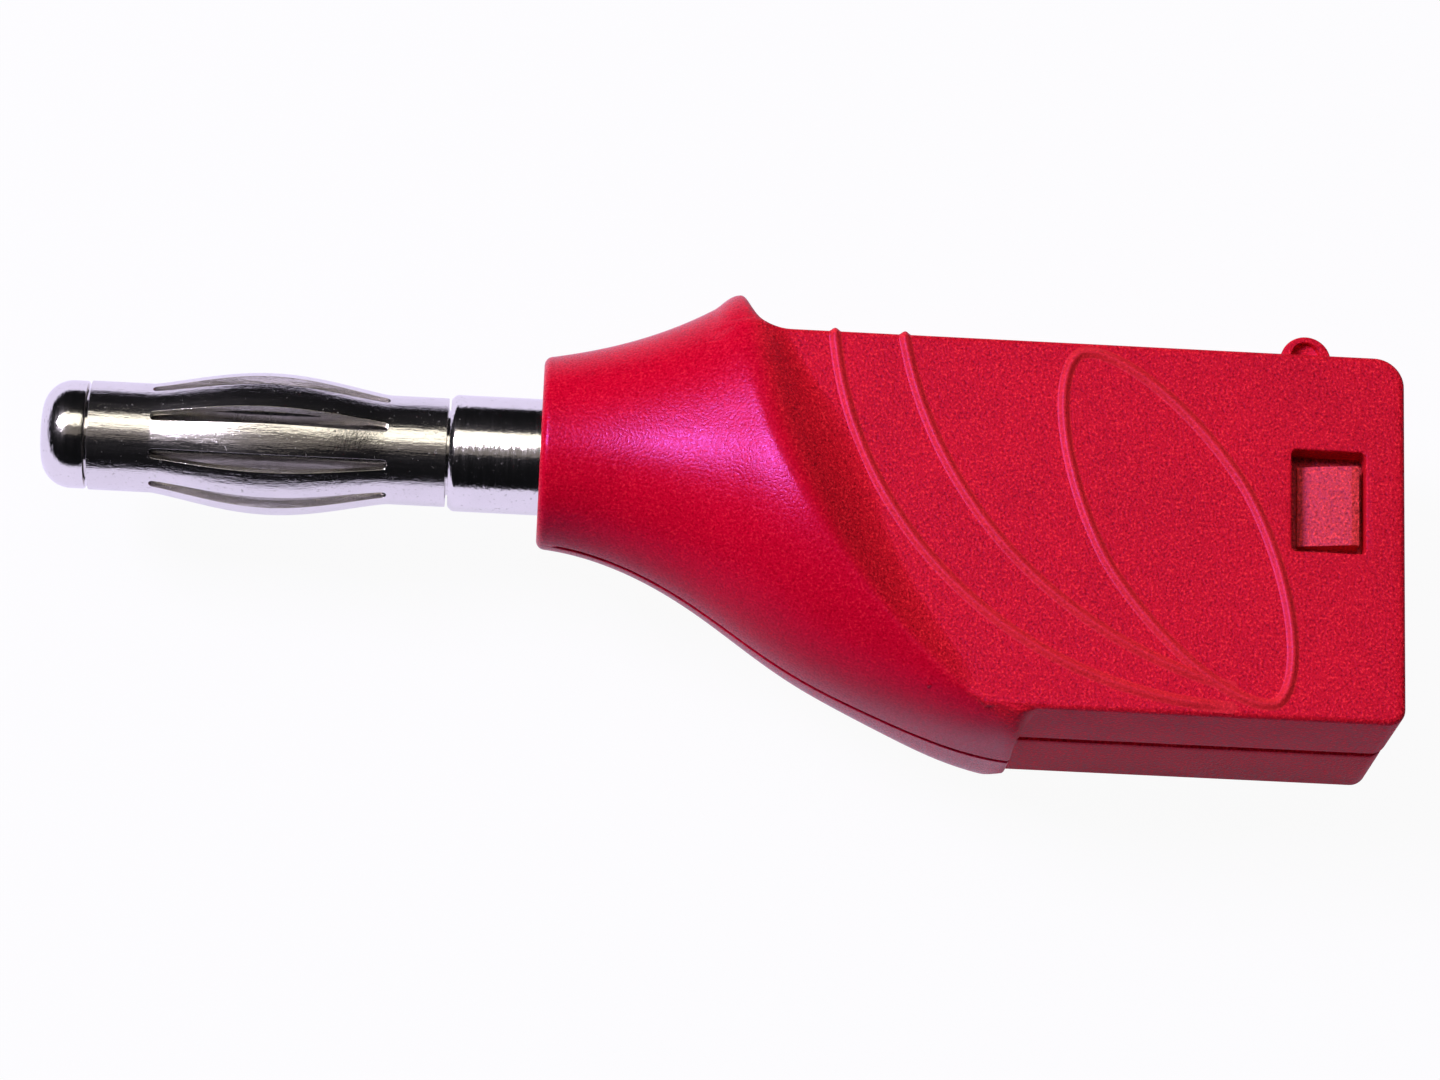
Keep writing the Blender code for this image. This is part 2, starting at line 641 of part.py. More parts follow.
def add_terminal_block(material):
    """Brass block that carries the pin in front, the socket behind and the wire beside them."""
    low, high = cavity_box(SEAT_GAP)
    front = CAVITY_FRONT + SEAT_GAP
    blank = box_mesh("terminal_block", (front, low[1], low[2]),
                     (front + BLOCK_LENGTH, high[1], high[2]), BLOCK_EDGE)
    block = add_part("terminal_block", blank, material)
    reach = 1 * MM
    shank = rod_mesh("shank_hole", SHANK_RADIUS + SLIDE_GAP, front - reach,
                     front + BLOCK_LENGTH + reach)
    combine(block, add_cutter("shank_hole", shank), "DIFFERENCE")
    wire = rod_mesh("wire_hole", WIRE_HOLE_RADIUS, front + BLOCK_EDGE + reach,
                    front + BLOCK_LENGTH + reach, "X", (WIRE_Y, 0.0), 20)
    combine(block, add_cutter("wire_hole", wire), "DIFFERENCE")
    tapped = rod_mesh("tapped_hole", SCREW_RADIUS + SLIDE_GAP, 0.0, BODY_HALF_HEIGHT, "Z",
                      (front + BLOCK_LENGTH / 2, WIRE_Y), 24)
    combine(block, add_cutter("tapped_hole", tapped), "DIFFERENCE")
    return block


def add_clamp_screw(material):
    """Slotted grub screw that presses the wire in the terminal block."""
    x = CAVITY_FRONT + SEAT_GAP + BLOCK_LENGTH / 2
    top = BODY_HALF_HEIGHT - HOUSING_WALL - SEAT_GAP - BLOCK_EDGE
    blank = rod_mesh("clamp_screw", SCREW_RADIUS, top - SCREW_LENGTH, top, "Z", (x, WIRE_Y), 24)
    screw = add_part("clamp_screw", blank, material)
    half = SCREW_SLOT_WIDTH / 2
    slot = box_mesh("driver_slot", (x - 2 * SCREW_RADIUS, WIRE_Y - half, top - SCREW_SLOT_DEPTH),
                    (x + 2 * SCREW_RADIUS, WIRE_Y + half, top + SCREW_RADIUS))
    combine(screw, add_cutter("driver_slot", slot), "DIFFERENCE")
    return screw


def add_rear_socket(material):
    """Turned socket for the next plug, on the pin's axis, with a stub in the terminal block."""
    radius = SOCKET_BORE_RADIUS + SOCKET_WALL
    block_rear = CAVITY_FRONT + SEAT_GAP + BLOCK_LENGTH
    rear = BODY_REAR - INSERT_REAR_PLATE - SEAT_GAP
    stub_front = block_rear - (BLOCK_LENGTH - SHANK_REACH - SEAT_GAP)
    shoulder = block_rear + SEAT_GAP
    lead = 0.15 * MM
    profile = [
        (0.0, -stub_front),
        (SHANK_RADIUS, -stub_front),
        (SHANK_RADIUS, -shoulder),
        (radius, -shoulder),
        (radius, -rear),
        (SOCKET_BORE_RADIUS + lead, -rear),
        (SOCKET_BORE_RADIUS, -rear + lead),
        (SOCKET_BORE_RADIUS, -rear + SOCKET_DEPTH),
        (0.0, -rear + SOCKET_DEPTH + SOCKET_BORE_RADIUS / 2),
    ]
    return add_part("rear_socket", turned_mesh("rear_socket", profile), material)


red = plastic("red_housing", (0.60, 0.013, 0.032), 0.48)
insert_red = plastic("red_insert", (0.66, 0.045, 0.055), 0.55)
nickel = plated("nickel_pin", (0.80, 0.78, 0.74), 0.16)
spring_nickel = plated("nickel_sleeve", (0.78, 0.76, 0.72), 0.20)
block_nickel = plated("nickel_block", (0.72, 0.70, 0.66), 0.30)
socket_nickel = plated("nickel_socket", (0.72, 0.70, 0.66), 0.28)
steel = plated("steel_screw", (0.56, 0.56, 0.58), 0.35)

add_housing(red)
add_rear_insert(insert_red)
add_contact_pin(nickel)
add_spring_sleeve(spring_nickel)
add_terminal_block(block_nickel)
add_rear_socket(socket_nickel)
add_clamp_screw(steel)
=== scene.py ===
import math

import bmesh
import bpy
import numpy as np
from mathutils import Euler, Matrix, Vector


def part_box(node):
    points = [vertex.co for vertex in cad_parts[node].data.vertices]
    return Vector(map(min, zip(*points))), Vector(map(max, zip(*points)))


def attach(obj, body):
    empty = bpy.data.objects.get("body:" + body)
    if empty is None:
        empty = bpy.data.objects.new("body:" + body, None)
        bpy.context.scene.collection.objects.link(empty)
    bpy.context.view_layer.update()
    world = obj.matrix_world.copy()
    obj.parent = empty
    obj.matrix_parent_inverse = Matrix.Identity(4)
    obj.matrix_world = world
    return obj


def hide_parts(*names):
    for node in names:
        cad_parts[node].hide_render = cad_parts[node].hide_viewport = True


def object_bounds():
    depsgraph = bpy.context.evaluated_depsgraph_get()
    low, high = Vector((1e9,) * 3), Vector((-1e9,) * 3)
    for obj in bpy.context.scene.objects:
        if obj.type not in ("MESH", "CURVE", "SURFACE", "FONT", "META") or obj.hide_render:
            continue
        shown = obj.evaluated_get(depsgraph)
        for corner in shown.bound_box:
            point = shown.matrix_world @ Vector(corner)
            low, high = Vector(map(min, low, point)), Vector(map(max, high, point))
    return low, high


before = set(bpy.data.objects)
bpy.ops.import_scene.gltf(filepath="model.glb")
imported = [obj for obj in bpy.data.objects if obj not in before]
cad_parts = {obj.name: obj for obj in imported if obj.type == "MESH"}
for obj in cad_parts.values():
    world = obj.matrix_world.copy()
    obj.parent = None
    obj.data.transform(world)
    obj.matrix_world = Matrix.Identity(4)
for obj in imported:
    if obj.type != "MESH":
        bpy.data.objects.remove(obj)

cad_low, cad_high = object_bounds()

# The plug's own axes, in millimetres: X runs back along the pin from the front of the neck, Y goes
# across the flat body and Z up through its thickness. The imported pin's box gives their place.
MM = 0.001
PIN_TIP_X = -16.60
pin_low, pin_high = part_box("contact_pin")
plug_origin = np.array((pin_low.x - PIN_TIP_X * MM,
                        (pin_low.y + pin_high.y) / 2,
                        (pin_low.z + pin_high.z) / 2))


def in_frame(points):
    """Points of the plug's axes in millimetres, as points of the frame in metres."""
    return np.asarray(points, float) * MM + plug_origin


# Camera: the product is seen from above and a little from its long side, turned slightly in the
# picture, by a long lens that stands 168 mm away.
CAMERA_PLACE = (0.264, -52.719, 159.216)
CAMERA_TURN = (17.377, -2.767, 2.091)
FRAME_WIDTH_PX = 1440
FOCAL_LENGTH_PX = 5002.6
SENSOR_WIDTH = 36.0

camera_data = bpy.data.cameras.new("camera")
camera_data.sensor_width = SENSOR_WIDTH
camera_data.lens = FOCAL_LENGTH_PX / FRAME_WIDTH_PX * SENSOR_WIDTH
camera_data.clip_start = 0.005
camera_data.clip_end = 20.0
camera = bpy.data.objects.new("camera", camera_data)
camera.location = in_frame(CAMERA_PLACE)
camera.rotation_euler = Euler([math.radians(turn) for turn in CAMERA_TURN])
bpy.context.scene.collection.objects.link(camera)
bpy.context.scene.camera = camera


# The room: a white table in a dark studio, with soft boxes above, warm in the middle and cool at
# the left. Some boxes only light the plug, and some only gleam in it. Bright metal shows the table
# at its edges, the dark room between, and the boxes as streaks.
TABLE_HALF_WIDTH = 1.5
TABLE_GAP = 0.01
TABLE_COLOUR = (0.64, 0.52, 0.90, 1.0)
TABLE_WHITENESS = 0.95
MIRRORED_TABLE, MIRRORED_GLOW, MIRRORED_SHARE = (0.84, 0.79, 1.0, 1.0), 1.15, 0.8
WHITE = (1.0, 1.0, 1.0, 1.0)
# Name, middle and size in millimetres, power in watts, colour, and whether it lights and gleams.
SOFT_BOXES = (
    ("warm_box", (-50.0, 115.0, 440.0), (420.0, 210.0), 0.47, (1.0, 0.93, 0.78), True, True),
    ("dim_box", (-50.0, -70.0, 440.0), (420.0, 160.0), 0.035, (1.0, 0.88, 0.78), False, True),
    ("cool_box", (-285.0, 115.0, 345.0), (130.0, 170.0), 1.95, (0.90, 0.86, 1.0), True, False),
    ("cool_gleam", (-262.0, 60.0, 376.0), (80.0, 110.0), 6.0, (0.92, 0.84, 1.0), False, True),
    ("fill", (-160.0, 175.0, 400.0), (400.0, 300.0), 0.47, (1.0, 0.97, 0.93), True, False))
ROOM_LEVEL, ROOM_MIRROR_LOSS = 0.055, 0.9
ROOM_COLOUR = (0.80, 0.84, 1.0, 1.0)


class Shade:
    """One output of a shader node. Arithmetic on it adds Math nodes to the same tree."""

    def __init__(self, tree, socket=None):
        self.tree = tree
        self.socket = socket

    def node(self, kind, settings=(), sockets=(), output=0):
        """A node of a kind: its settings first, then the values or links of its sockets."""
        made = self.tree.nodes.new("ShaderNode" + kind)
        for key, value in dict(settings).items():
            setattr(made, key, value)
        for key, value in dict(sockets).items():
            if isinstance(value, Shade):
                self.tree.links.new(value.socket, made.inputs[key])
            else:
                made.inputs[key].default_value = value
        return Shade(self.tree, made.outputs[output] if made.outputs else None)

    def maths(self, operation, *values):
        return self.node("Math", {"operation": operation}, dict(enumerate(values)))

    def __add__(self, other):
        return self.maths("ADD", self, other)

    def __sub__(self, other):
        return self.maths("SUBTRACT", self, other)

    def __rsub__(self, other):
        return self.maths("SUBTRACT", other, self)

    def __mul__(self, other):
        return self.maths("MULTIPLY", self, other)

    __radd__ = __add__
    __rmul__ = __mul__

    def within(self, low, high):
        """0 at low, 1 at high and a smooth step between them."""
        return self.node("MapRange", {"interpolation_type": "SMOOTHSTEP"},
                         {"Value": self, "From Min": low, "From Max": high})


table_data = bpy.data.meshes.new("table")
table_data.from_pydata(
    [(x * TABLE_HALF_WIDTH, y * TABLE_HALF_WIDTH, cad_low.z - TABLE_GAP * MM)
     for x, y in ((-1, -1), (1, -1), (1, 1), (-1, 1))], [], [(0, 1, 2, 3)])
table = bpy.data.objects.new("table", table_data)
bpy.context.scene.collection.objects.link(table)

table_paint = bpy.data.materials.new("table")
table_paint.use_nodes = True
table_paint.node_tree.nodes.clear()
at = Shade(table_paint.node_tree)
seen = at.node("LightPath", output="Is Camera Ray")
mirrored = at.node("LightPath", output="Is Glossy Ray")
lit = at.node("BsdfDiffuse", (), {"Color": TABLE_COLOUR})
white = at.node("Emission", (), {"Color": WHITE, "Strength": 1.0})
pale = at.node("Emission", (), {"Color": MIRRORED_TABLE, "Strength": MIRRORED_GLOW})
shown = at.node("MixShader", (), {0: seen * TABLE_WHITENESS, 1: lit, 2: white})
shown = at.node("MixShader", (), {0: mirrored * MIRRORED_SHARE, 1: shown, 2: pale})
at.node("OutputMaterial", (), {"Surface": shown})
table_data.materials.append(table_paint)

world = bpy.data.worlds.new("studio")
world.use_nodes = True
world.node_tree.nodes.clear()
at = Shade(world.node_tree)
seen = at.node("LightPath", output="Is Camera Ray")
mirrored = at.node("LightPath", output="Is Glossy Ray")
room_strength = ROOM_LEVEL * (1.0 - mirrored * ROOM_MIRROR_LOSS)
dark_room = at.node("Background", (), {"Color": ROOM_COLOUR, "Strength": room_strength})
backdrop = at.node("Background", (), {"Color": WHITE, "Strength": 1.0})
shown = at.node("MixShader", (), {0: seen, 1: dark_room, 2: backdrop})
at.node("OutputWorld", (), {"Surface": shown})
bpy.context.scene.world = world
bpy.context.scene.view_settings.view_transform = "Standard"

for name, middle, (length, width), power, colour, lights, gleams in SOFT_BOXES:
    lamp_data = bpy.data.lights.new(name, "AREA")
    lamp_data.shape = "RECTANGLE"
    lamp_data.size, lamp_data.size_y = length * MM, width * MM
    lamp_data.energy = power
    lamp_data.color = colour
    lamp = bpy.data.objects.new(name, lamp_data)
    lamp.location = in_frame(middle)
    away = Vector(middle).normalized()
    long_way = Vector((0.0, 1.0, 0.0)).cross(away).normalized()
    lamp.rotation_euler = Matrix((long_way, away.cross(long_way), away)).transposed().to_euler()
    lamp.visible_diffuse, lamp.visible_glossy = lights, gleams
    bpy.context.scene.collection.objects.link(lamp)


# Neck and finger ridge: the front of the one-piece housing, injection-moulded in red plastic. The
# round neck flares to a slanting ridge, boxier on its long side, whose back runs into the body.
NECK_TOP, NECK_BOTTOM, NECK_HALF_HEIGHT = 3.41, 3.08, 3.20
ROUND_POWER = 2.0
NECK_EDGE = 0.30
NECK_FRONT_MARGIN = 0.2
NECK_BORE = 2.05
NECK_BORE_EDGE = 0.10
NECK_INSIDE_END = 12.90
RIDGE_TOP, RIDGE_BOTTOM, RIDGE_HALF_HEIGHT = 5.64, 9.80, 5.20
RIDGE_TOP_X, RIDGE_MIDDLE_X, RIDGE_BOTTOM_X = 6.42, 7.55, 15.95
RIDGE_ARC_RADIUS = 20.0
# First and last slope of each size's growth along the neck.
TOP_FLARE, FACE_FLARE, BOTTOM_FLARE = (0.45, 1.80), (0.30, 1.60), (0.206, 0.181)
FACE_LIMIT, FACE_LIMIT_WIDTH = 5.50, 0.60
FACE_FALL, FACE_FALL_START, FACE_FALL_END = 0.30, 13.0, 16.0
TOP_POWER_GAIN, BOTTOM_POWER_GAIN, POWER_RISE = 0.6, 3.3, 4.0
RIDGE_DRAFT = 0.006
END_STRETCH, END_STRETCH_START, END_STRETCH_END = 0.68, 8.40, 9.20
END_STRETCH_BOTTOM_Z = -2.5
BOTTOM_FULLNESS, FULLNESS_PLACE, FULLNESS_WIDTH = 0.385, 0.51, 0.19
# On the short side, the faces and the long side: how far the ridge's back runs, its first slope,
# and how far its crest is rounded.
BACK_LENGTHS = (0.85, 2.60, 0.30)
BACK_SLOPES = (0.30, 1.50, 1.50)
CREST_ROUNDINGS = (0.85, 0.60, 0.22)
ROUNDING_DROP, ROUNDING_LEAST = 0.50, 0.1
CLIMB_STEP = 0.1
FLARE_ROWS, FLARE_CROWDING, BACK_ROWS = 83, 1.25, 36
HIDDEN_SHARE = 0.93
BODY_TOP, BODY_BOTTOM, BODY_HALF_HEIGHT = 3.63, 8.98, 4.00
BODY_POWER = 60.0
SKIN = 0.004
SEAM_DEPTH, SEAM_HALF_WIDTH, SEAM_START, SEAM_FADE = 0.12, 0.10, 0.60, 0.3
# Strength, and width in radians, of the crowding of stations at the parting line and the corners.
STATIONS_ROUND = 360
SHORT_SEAM_CROWDING, LONG_SEAM_CROWDING, CORNER_CROWDING = (14.0, 0.05), (14.0, 0.035), (5.0, 0.14)


def mix(a, b, share):
    """From a to b by a share of the way."""
    return a + (b - a) * share


def ease(t, start_slope, end_slope):
    """Cubic from 0 to 1 that leaves and arrives with the given slopes."""
    return (start_slope * (t ** 3 - 2 * t ** 2 + t) + 3 * t ** 2 - 2 * t ** 3
            + end_slope * (t ** 3 - t ** 2))


def smooth_least(a, b, width):
    """The lesser of two sizes, with the corner between them rounded over the width."""
    share = np.clip(0.5 + 0.5 * (b - a) / width, 0.0, 1.0)
    return mix(b, a, share) - width * share * (1.0 - share)


def crowded_turn(count, places):
    """Angles once round, packed closer near given ones: equal steps of a summed density.

    The density is 1 plus, for each place, its strength times a bell curve of its width.
    """
    fine = np.linspace(-np.pi, np.pi, 20001)
    density = np.ones_like(fine)
    for place, strength, width in places:
        apart = np.angle(np.exp(1j * (fine - place)))
        density += strength * np.exp(-(apart / width) ** 2)
    total = np.concatenate(([0.0], np.cumsum((density[1:] + density[:-1]) / 2)))
    return np.interp(np.arange(count) / count, total / total[-1], fine)


def smooth_step(value, low, high):
    """0 below low, 1 above high and the cubic 3 s^2 - 2 s^3 between them."""
    share = np.clip((value - low) / (high - low), 0.0, 1.0)
    return share * share * (3.0 - 2.0 * share)


def reach(top, bottom, height, top_power, bottom_power, draft=0.0):
    """How far a section goes from the pin's axis at each turn.

    It is (|cos/width|^p + |sin/height|^p)^(-1/p). Width and power are those of the short or of
    the long side. The draft narrows the width by its share of the height above or below the
    parting line, which repeated substitution finds.
    """
    width = np.where(np.cos(turns) > 0.0, top, bottom)
    power = np.where(np.cos(turns) > 0.0, top_power, bottom_power)
    far = width
    for _ in range(8):
        narrowed = width * (1.0 - draft * np.abs(far * np.sin(turns)))
        far = ((np.abs(np.cos(turns)) / narrowed) ** power
               + (np.abs(np.sin(turns)) / height) ** power) ** (-1.0 / power)
    return far


def ridge_x(y):
    """Crest of the ridge in plan: an arc through its two ends, hollow towards the rear."""
    along = np.array((RIDGE_BOTTOM_X - RIDGE_TOP_X, -RIDGE_BOTTOM - RIDGE_TOP))
    chord = np.hypot(*along)
    reach_back = math.sqrt(RIDGE_ARC_RADIUS ** 2 - chord ** 2 / 4)
    centre_x = (RIDGE_TOP_X + RIDGE_BOTTOM_X) / 2 - along[1] / chord * reach_back
    centre_y = (RIDGE_TOP - RIDGE_BOTTOM) / 2 + along[0] / chord * reach_back
    return centre_x - np.sqrt(RIDGE_ARC_RADIUS ** 2 - (y - centre_y) ** 2)


def seam(z, widening=1.0):
    """Depth of the parting line's groove at a height: a narrow trough at the middle plane."""
    return SEAM_DEPTH * np.exp(-(z / SEAM_HALF_WIDTH / widening) ** 4)


def round_about(sizes):
    """A size for each turn from those of the short side, of the two faces and of the long side.

    It goes from a side's to the faces' with sin^4 of the turn on the short side and sin^2 of it
    on the long side.
    """
    short, face, long = sizes
    to_face = np.where(np.cos(turns) > 0.0, np.sin(turns) ** 4, np.sin(turns) ** 2)
    return mix(np.where(np.cos(turns) > 0.0, short, long), face, to_face)


corner_turns = [side * math.atan2(BODY_HALF_HEIGHT, width)
                for side in (1, -1) for width in (BODY_TOP, -BODY_BOTTOM)]
turns = crowded_turn(STATIONS_ROUND, [(0.0, *SHORT_SEAM_CROWDING), (math.pi, *LONG_SEAM_CROWDING)]
                     + [(turn, *CORNER_CROWDING) for turn in corner_turns])
back_length = round_about(BACK_LENGTHS)
back_slope = round_about(BACK_SLOPES)


def neck_reach(x):
    """The neck's section at x: each size eases from the neck's to that of the ridge's end.

    The faces stop at a smooth limit and fall a little behind it, and the long side is fuller
    halfway by a bell curve. The section starts round, and its powers grow towards the ridge.
    """
    def grown(end_x, flare):
        return ease((x - NECK_EDGE) / (end_x - NECK_EDGE), *flare)
    height = mix(NECK_HALF_HEIGHT, RIDGE_HALF_HEIGHT, grown(RIDGE_MIDDLE_X, FACE_FLARE))
    height = (smooth_least(height, FACE_LIMIT, FACE_LIMIT_WIDTH)
              - FACE_FALL * smooth_step(x, FACE_FALL_START, FACE_FALL_END))
    rise = (x - NECK_EDGE) / (RIDGE_BOTTOM_X - NECK_EDGE)
    fullness = BOTTOM_FULLNESS * np.exp(-((rise - FULLNESS_PLACE) / FULLNESS_WIDTH) ** 2)
    bottom = mix(NECK_BOTTOM, RIDGE_BOTTOM, grown(RIDGE_BOTTOM_X, BOTTOM_FLARE)) + fullness
    return reach(mix(NECK_TOP, RIDGE_TOP, grown(RIDGE_TOP_X, TOP_FLARE)), bottom, height,
                 ROUND_POWER + TOP_POWER_GAIN * (x - NECK_EDGE) / (RIDGE_TOP_X - NECK_EDGE),
                 ROUND_POWER + BOTTOM_POWER_GAIN * rise ** POWER_RISE, RIDGE_DRAFT * rise ** 2)


body_reach = reach(BODY_TOP - SKIN, BODY_BOTTOM - SKIN, BODY_HALF_HEIGHT - SKIN, BODY_POWER,
                   BODY_POWER)
# The crest lies where the neck's surface meets the arc; repeated substitution finds it. Near the
# long end it takes the arc's place from further out, so that the tip leans back. Below the
# parting line that fades out.
crest_x = np.full_like(turns, RIDGE_MIDDLE_X)
for _ in range(60):
    crest_y = neck_reach(crest_x) * np.cos(turns)
    crest_z = neck_reach(crest_x) * np.sin(turns)
    stretch = (END_STRETCH * smooth_step(-crest_y, END_STRETCH_START, END_STRETCH_END)
               * smooth_step(crest_z, END_STRETCH_BOTTOM_Z, 0.0))
    crest_x = mix(crest_x, ridge_x(np.clip(crest_y - stretch, -RIDGE_BOTTOM, RIDGE_TOP)), 0.5)
crest_reach = neck_reach(crest_x)
neck_climb = (crest_reach - neck_reach(crest_x - CLIMB_STEP)) / CLIMB_STEP
drop_share = (crest_reach - body_reach) / ROUNDING_DROP
rounding = round_about(CREST_ROUNDINGS) * np.clip(drop_share, ROUNDING_LEAST, 1.0)


def plain_row(x, y, z):
    """Points of a line or grid from three coordinates, each one number or an array."""
    return np.stack(np.broadcast_arrays(x, y, z), axis=-1)


def round_row(x, radius):
    """One line round the pin's axis, with a station for each turn."""
    return plain_row(x, radius * np.cos(turns), radius * np.sin(turns))


def skin_row(x, shrink=0.0):
    """One line round the housing, with a station for each turn.

    It lies on the smooth lesser of the flaring neck, carried on straight past the crest, and of
    the back, which falls from the crest to the body and is carried on straight over the neck.
    On the short side a lip raises both: a quarter of the rounding, times the turn's cosine,
    times (1 - s^2)^2, where s is the way from the crest as a share of the back's length.
    Last, the line is drawn in by shrink and by the parting line's groove.
    """
    ahead = np.maximum(x - crest_x, 0.0)
    share = (x - crest_x) / back_length
    lip = (rounding / 4 * np.maximum(np.cos(turns), 0.0)
           * np.clip(1.0 - share ** 2, 0.0, 1.0) ** 2)
    along = neck_reach(x - ahead) + ahead * neck_climb + lip
    fallen = ease(np.maximum(share, 0.0), back_slope, 0.0) + back_slope * np.minimum(share, 0.0)
    back = mix(crest_reach, body_reach, fallen) + lip
    far = smooth_least(along, back, rounding) - shrink
    fade = np.clip((x - SEAM_START) / SEAM_FADE, 0.0, 1.0)
    return round_row(x, far - seam(far * np.sin(turns)) * fade)


# From the bore's inner end forwards, round the front edge, up the flare, down the ridge's back,
# and then in again inside the body.
rows = [round_row(NECK_INSIDE_END, NECK_BORE), round_row(NECK_BORE_EDGE, NECK_BORE),
        round_row(0.0, NECK_BORE + NECK_BORE_EDGE)]
for angle in np.linspace(-NECK_FRONT_MARGIN, np.pi / 2, 9):
    row = skin_row(np.full_like(turns, NECK_EDGE), NECK_EDGE * (1 - np.sin(angle)))
    row[:, 0] = NECK_EDGE * (1 - np.cos(max(angle, 0.0)))
    rows.append(row)
for share in 1.0 - (1.0 - np.linspace(0.0, 1.0, FLARE_ROWS + 1)[1:]) ** FLARE_CROWDING:
    rows.append(skin_row(mix(NECK_EDGE, crest_x, share)))
for share in np.linspace(0.0, 1.0, BACK_ROWS + 1)[1:]:
    rows.append(skin_row(crest_x + share * back_length))
for x in (crest_x + back_length, NECK_INSIDE_END):
    rows.append(round_row(x, HIDDEN_SHARE * body_reach))
neck_grid = np.array(rows)

WELD, SLIVER = 0.0005, 0.0001


def quads(rows, columns, loop_rows=False, loop_columns=False):
    """Corner numbers of the faces of a grid; a loop joins its last line to its first."""
    number = np.arange(rows * columns).reshape(rows, columns)
    if loop_rows:
        number = np.vstack((number, number[:1]))
    if loop_columns:
        number = np.hstack((number, number[:, :1]))
    return np.stack((number[:-1, :-1], number[1:, :-1], number[1:, 1:], number[:-1, 1:]),
                    axis=-1).reshape(-1, 4)


def new_piece(name, grid, loops, material, smooth_angle, replaced):
    """A finished piece from a grid of points in the plug's axes.

    The two loops say whether its rows and its columns close on themselves.
    """
    mesh = bpy.data.meshes.new(name)
    mesh.from_pydata(in_frame(grid.reshape(-1, 3)).tolist(), [],
                     quads(*grid.shape[:2], *loops).tolist())
    finish_mesh(mesh, smooth_angle)
    return place_piece(name, mesh, material, replaced)


def finish_mesh(mesh, smooth_angle):
    """Weld a mesh, turn its faces outwards and shade it smooth up to the angle in degrees."""
    bm = bmesh.new()
    bm.from_mesh(mesh)
    bmesh.ops.remove_doubles(bm, verts=bm.verts, dist=WELD * MM)
    bmesh.ops.dissolve_degenerate(bm, edges=bm.edges, dist=SLIVER * MM)
    bmesh.ops.recalc_face_normals(bm, faces=bm.faces)
    bm.to_mesh(mesh)
    bm.free()
    mesh.shade_smooth()
    mesh.set_sharp_from_angle(angle=math.radians(smooth_angle))


def place_piece(name, mesh, material, replaced):
    """A mesh as a piece with its material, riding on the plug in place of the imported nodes."""
    piece = bpy.data.objects.new(name, mesh)
    mesh.materials.append(material)
    bpy.context.scene.collection.objects.link(piece)
    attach(piece, "root")
    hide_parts(*replaced)
    return piece


def principled(name, sockets):
    """A material on one Principled shader, whose values the function sockets works out."""
    material = bpy.data.materials.new(name)
    material.use_nodes = True
    material.node_tree.nodes.clear()
    at = Shade(material.node_tree)
    surface = at.node("BsdfPrincipled", (), sockets(at), "BSDF")
    at.node("OutputMaterial", (), {"Surface": surface})
    return material


GRAIN_SCALE, FLECK_SCALE, CLOUD_SCALE = 11500.0, 11000.0, 500.0
GLINT_RANGE, PIT_RANGE = (0.52, 0.70), (0.48, 0.30)
GRAIN_SHADE, CLOUD_SHADE, GLINT_PALENESS = 0.6, 0.26, 0.35
FLECK_HEIGHT, GRAIN_ROUGHNESS = 0.3, 0.5
SATIN_SPECKLE_LOSS, SATIN_BUMP_LOSS, SATIN_ROUGHNESS_LOSS = 0.4, 0.6, 0.26
RED, SATIN_RED, GLINT_RED = (0.59, 0.006, 0.016), (0.56, 0.001, 0.021), (0.78, 0.055, 0.050)
PLASTIC_SPECULAR, PLASTIC_SHEEN = 0.12, (0.85, 0.18, 1.0, 1.0)


def red_plastic(name, colour, roughness, grain_depth, speckle):
    """Moulded plastic with the irregular grain of a spark-eroded mould.

    The tone is 1 + glints - pits + clouds. Where the piece's satin attribute is near 1 the grain
    is fainter, the gloss higher and the red deeper.
    """
    def sockets(at):
        place = at.node("TexCoord", output="Object")
        satin = at.node("Attribute", {"attribute_name": "satin"}, output="Fac")
        grain = at.node("TexNoise", (), {"Vector": place, "Scale": GRAIN_SCALE, "Detail": 2.0,
                                         "Roughness": 0.6})
        flecks = at.node("TexVoronoi", {"feature": "F1"}, {"Vector": place, "Scale": FLECK_SCALE,
                                                          "Randomness": 1.0})
        cloud = at.node("TexNoise", (), {"Vector": place, "Scale": CLOUD_SCALE, "Detail": 5.0})
        level = (1.0 - satin * SATIN_SPECKLE_LOSS) * speckle
        glint = grain.within(*GLINT_RANGE) * level
        pit = grain.within(*PIT_RANGE) * level
        tone = 1.0 + glint * GRAIN_SHADE - pit * GRAIN_SHADE + (cloud - 0.5) * CLOUD_SHADE
        plain = at.node("Mix", {"data_type": "RGBA"}, {"Factor": satin, "A": (*colour, 1.0),
                                                       "B": (*SATIN_RED, 1.0)}, 2)
        paler = at.node("Mix", {"data_type": "RGBA"}, {"Factor": glint * GLINT_PALENESS,
                                                       "A": plain, "B": (*GLINT_RED, 1.0)}, 2)
        tint = at.node("VectorMath", {"operation": "SCALE"}, {0: paler, "Scale": tone})
        height = (grain + flecks * FLECK_HEIGHT) * (1.0 - satin * SATIN_BUMP_LOSS)
        bump = at.node("Bump", (), {"Strength": 1.0, "Distance": grain_depth * MM,
                                    "Height": height})
        return {"Base Color": tint, "Normal": bump, "Specular IOR Level": PLASTIC_SPECULAR,
                "Specular Tint": PLASTIC_SHEEN,
                "Roughness": (roughness - satin * SATIN_ROUGHNESS_LOSS
                              + (grain - 0.5) * GRAIN_ROUGHNESS)}
    return principled(name, sockets)


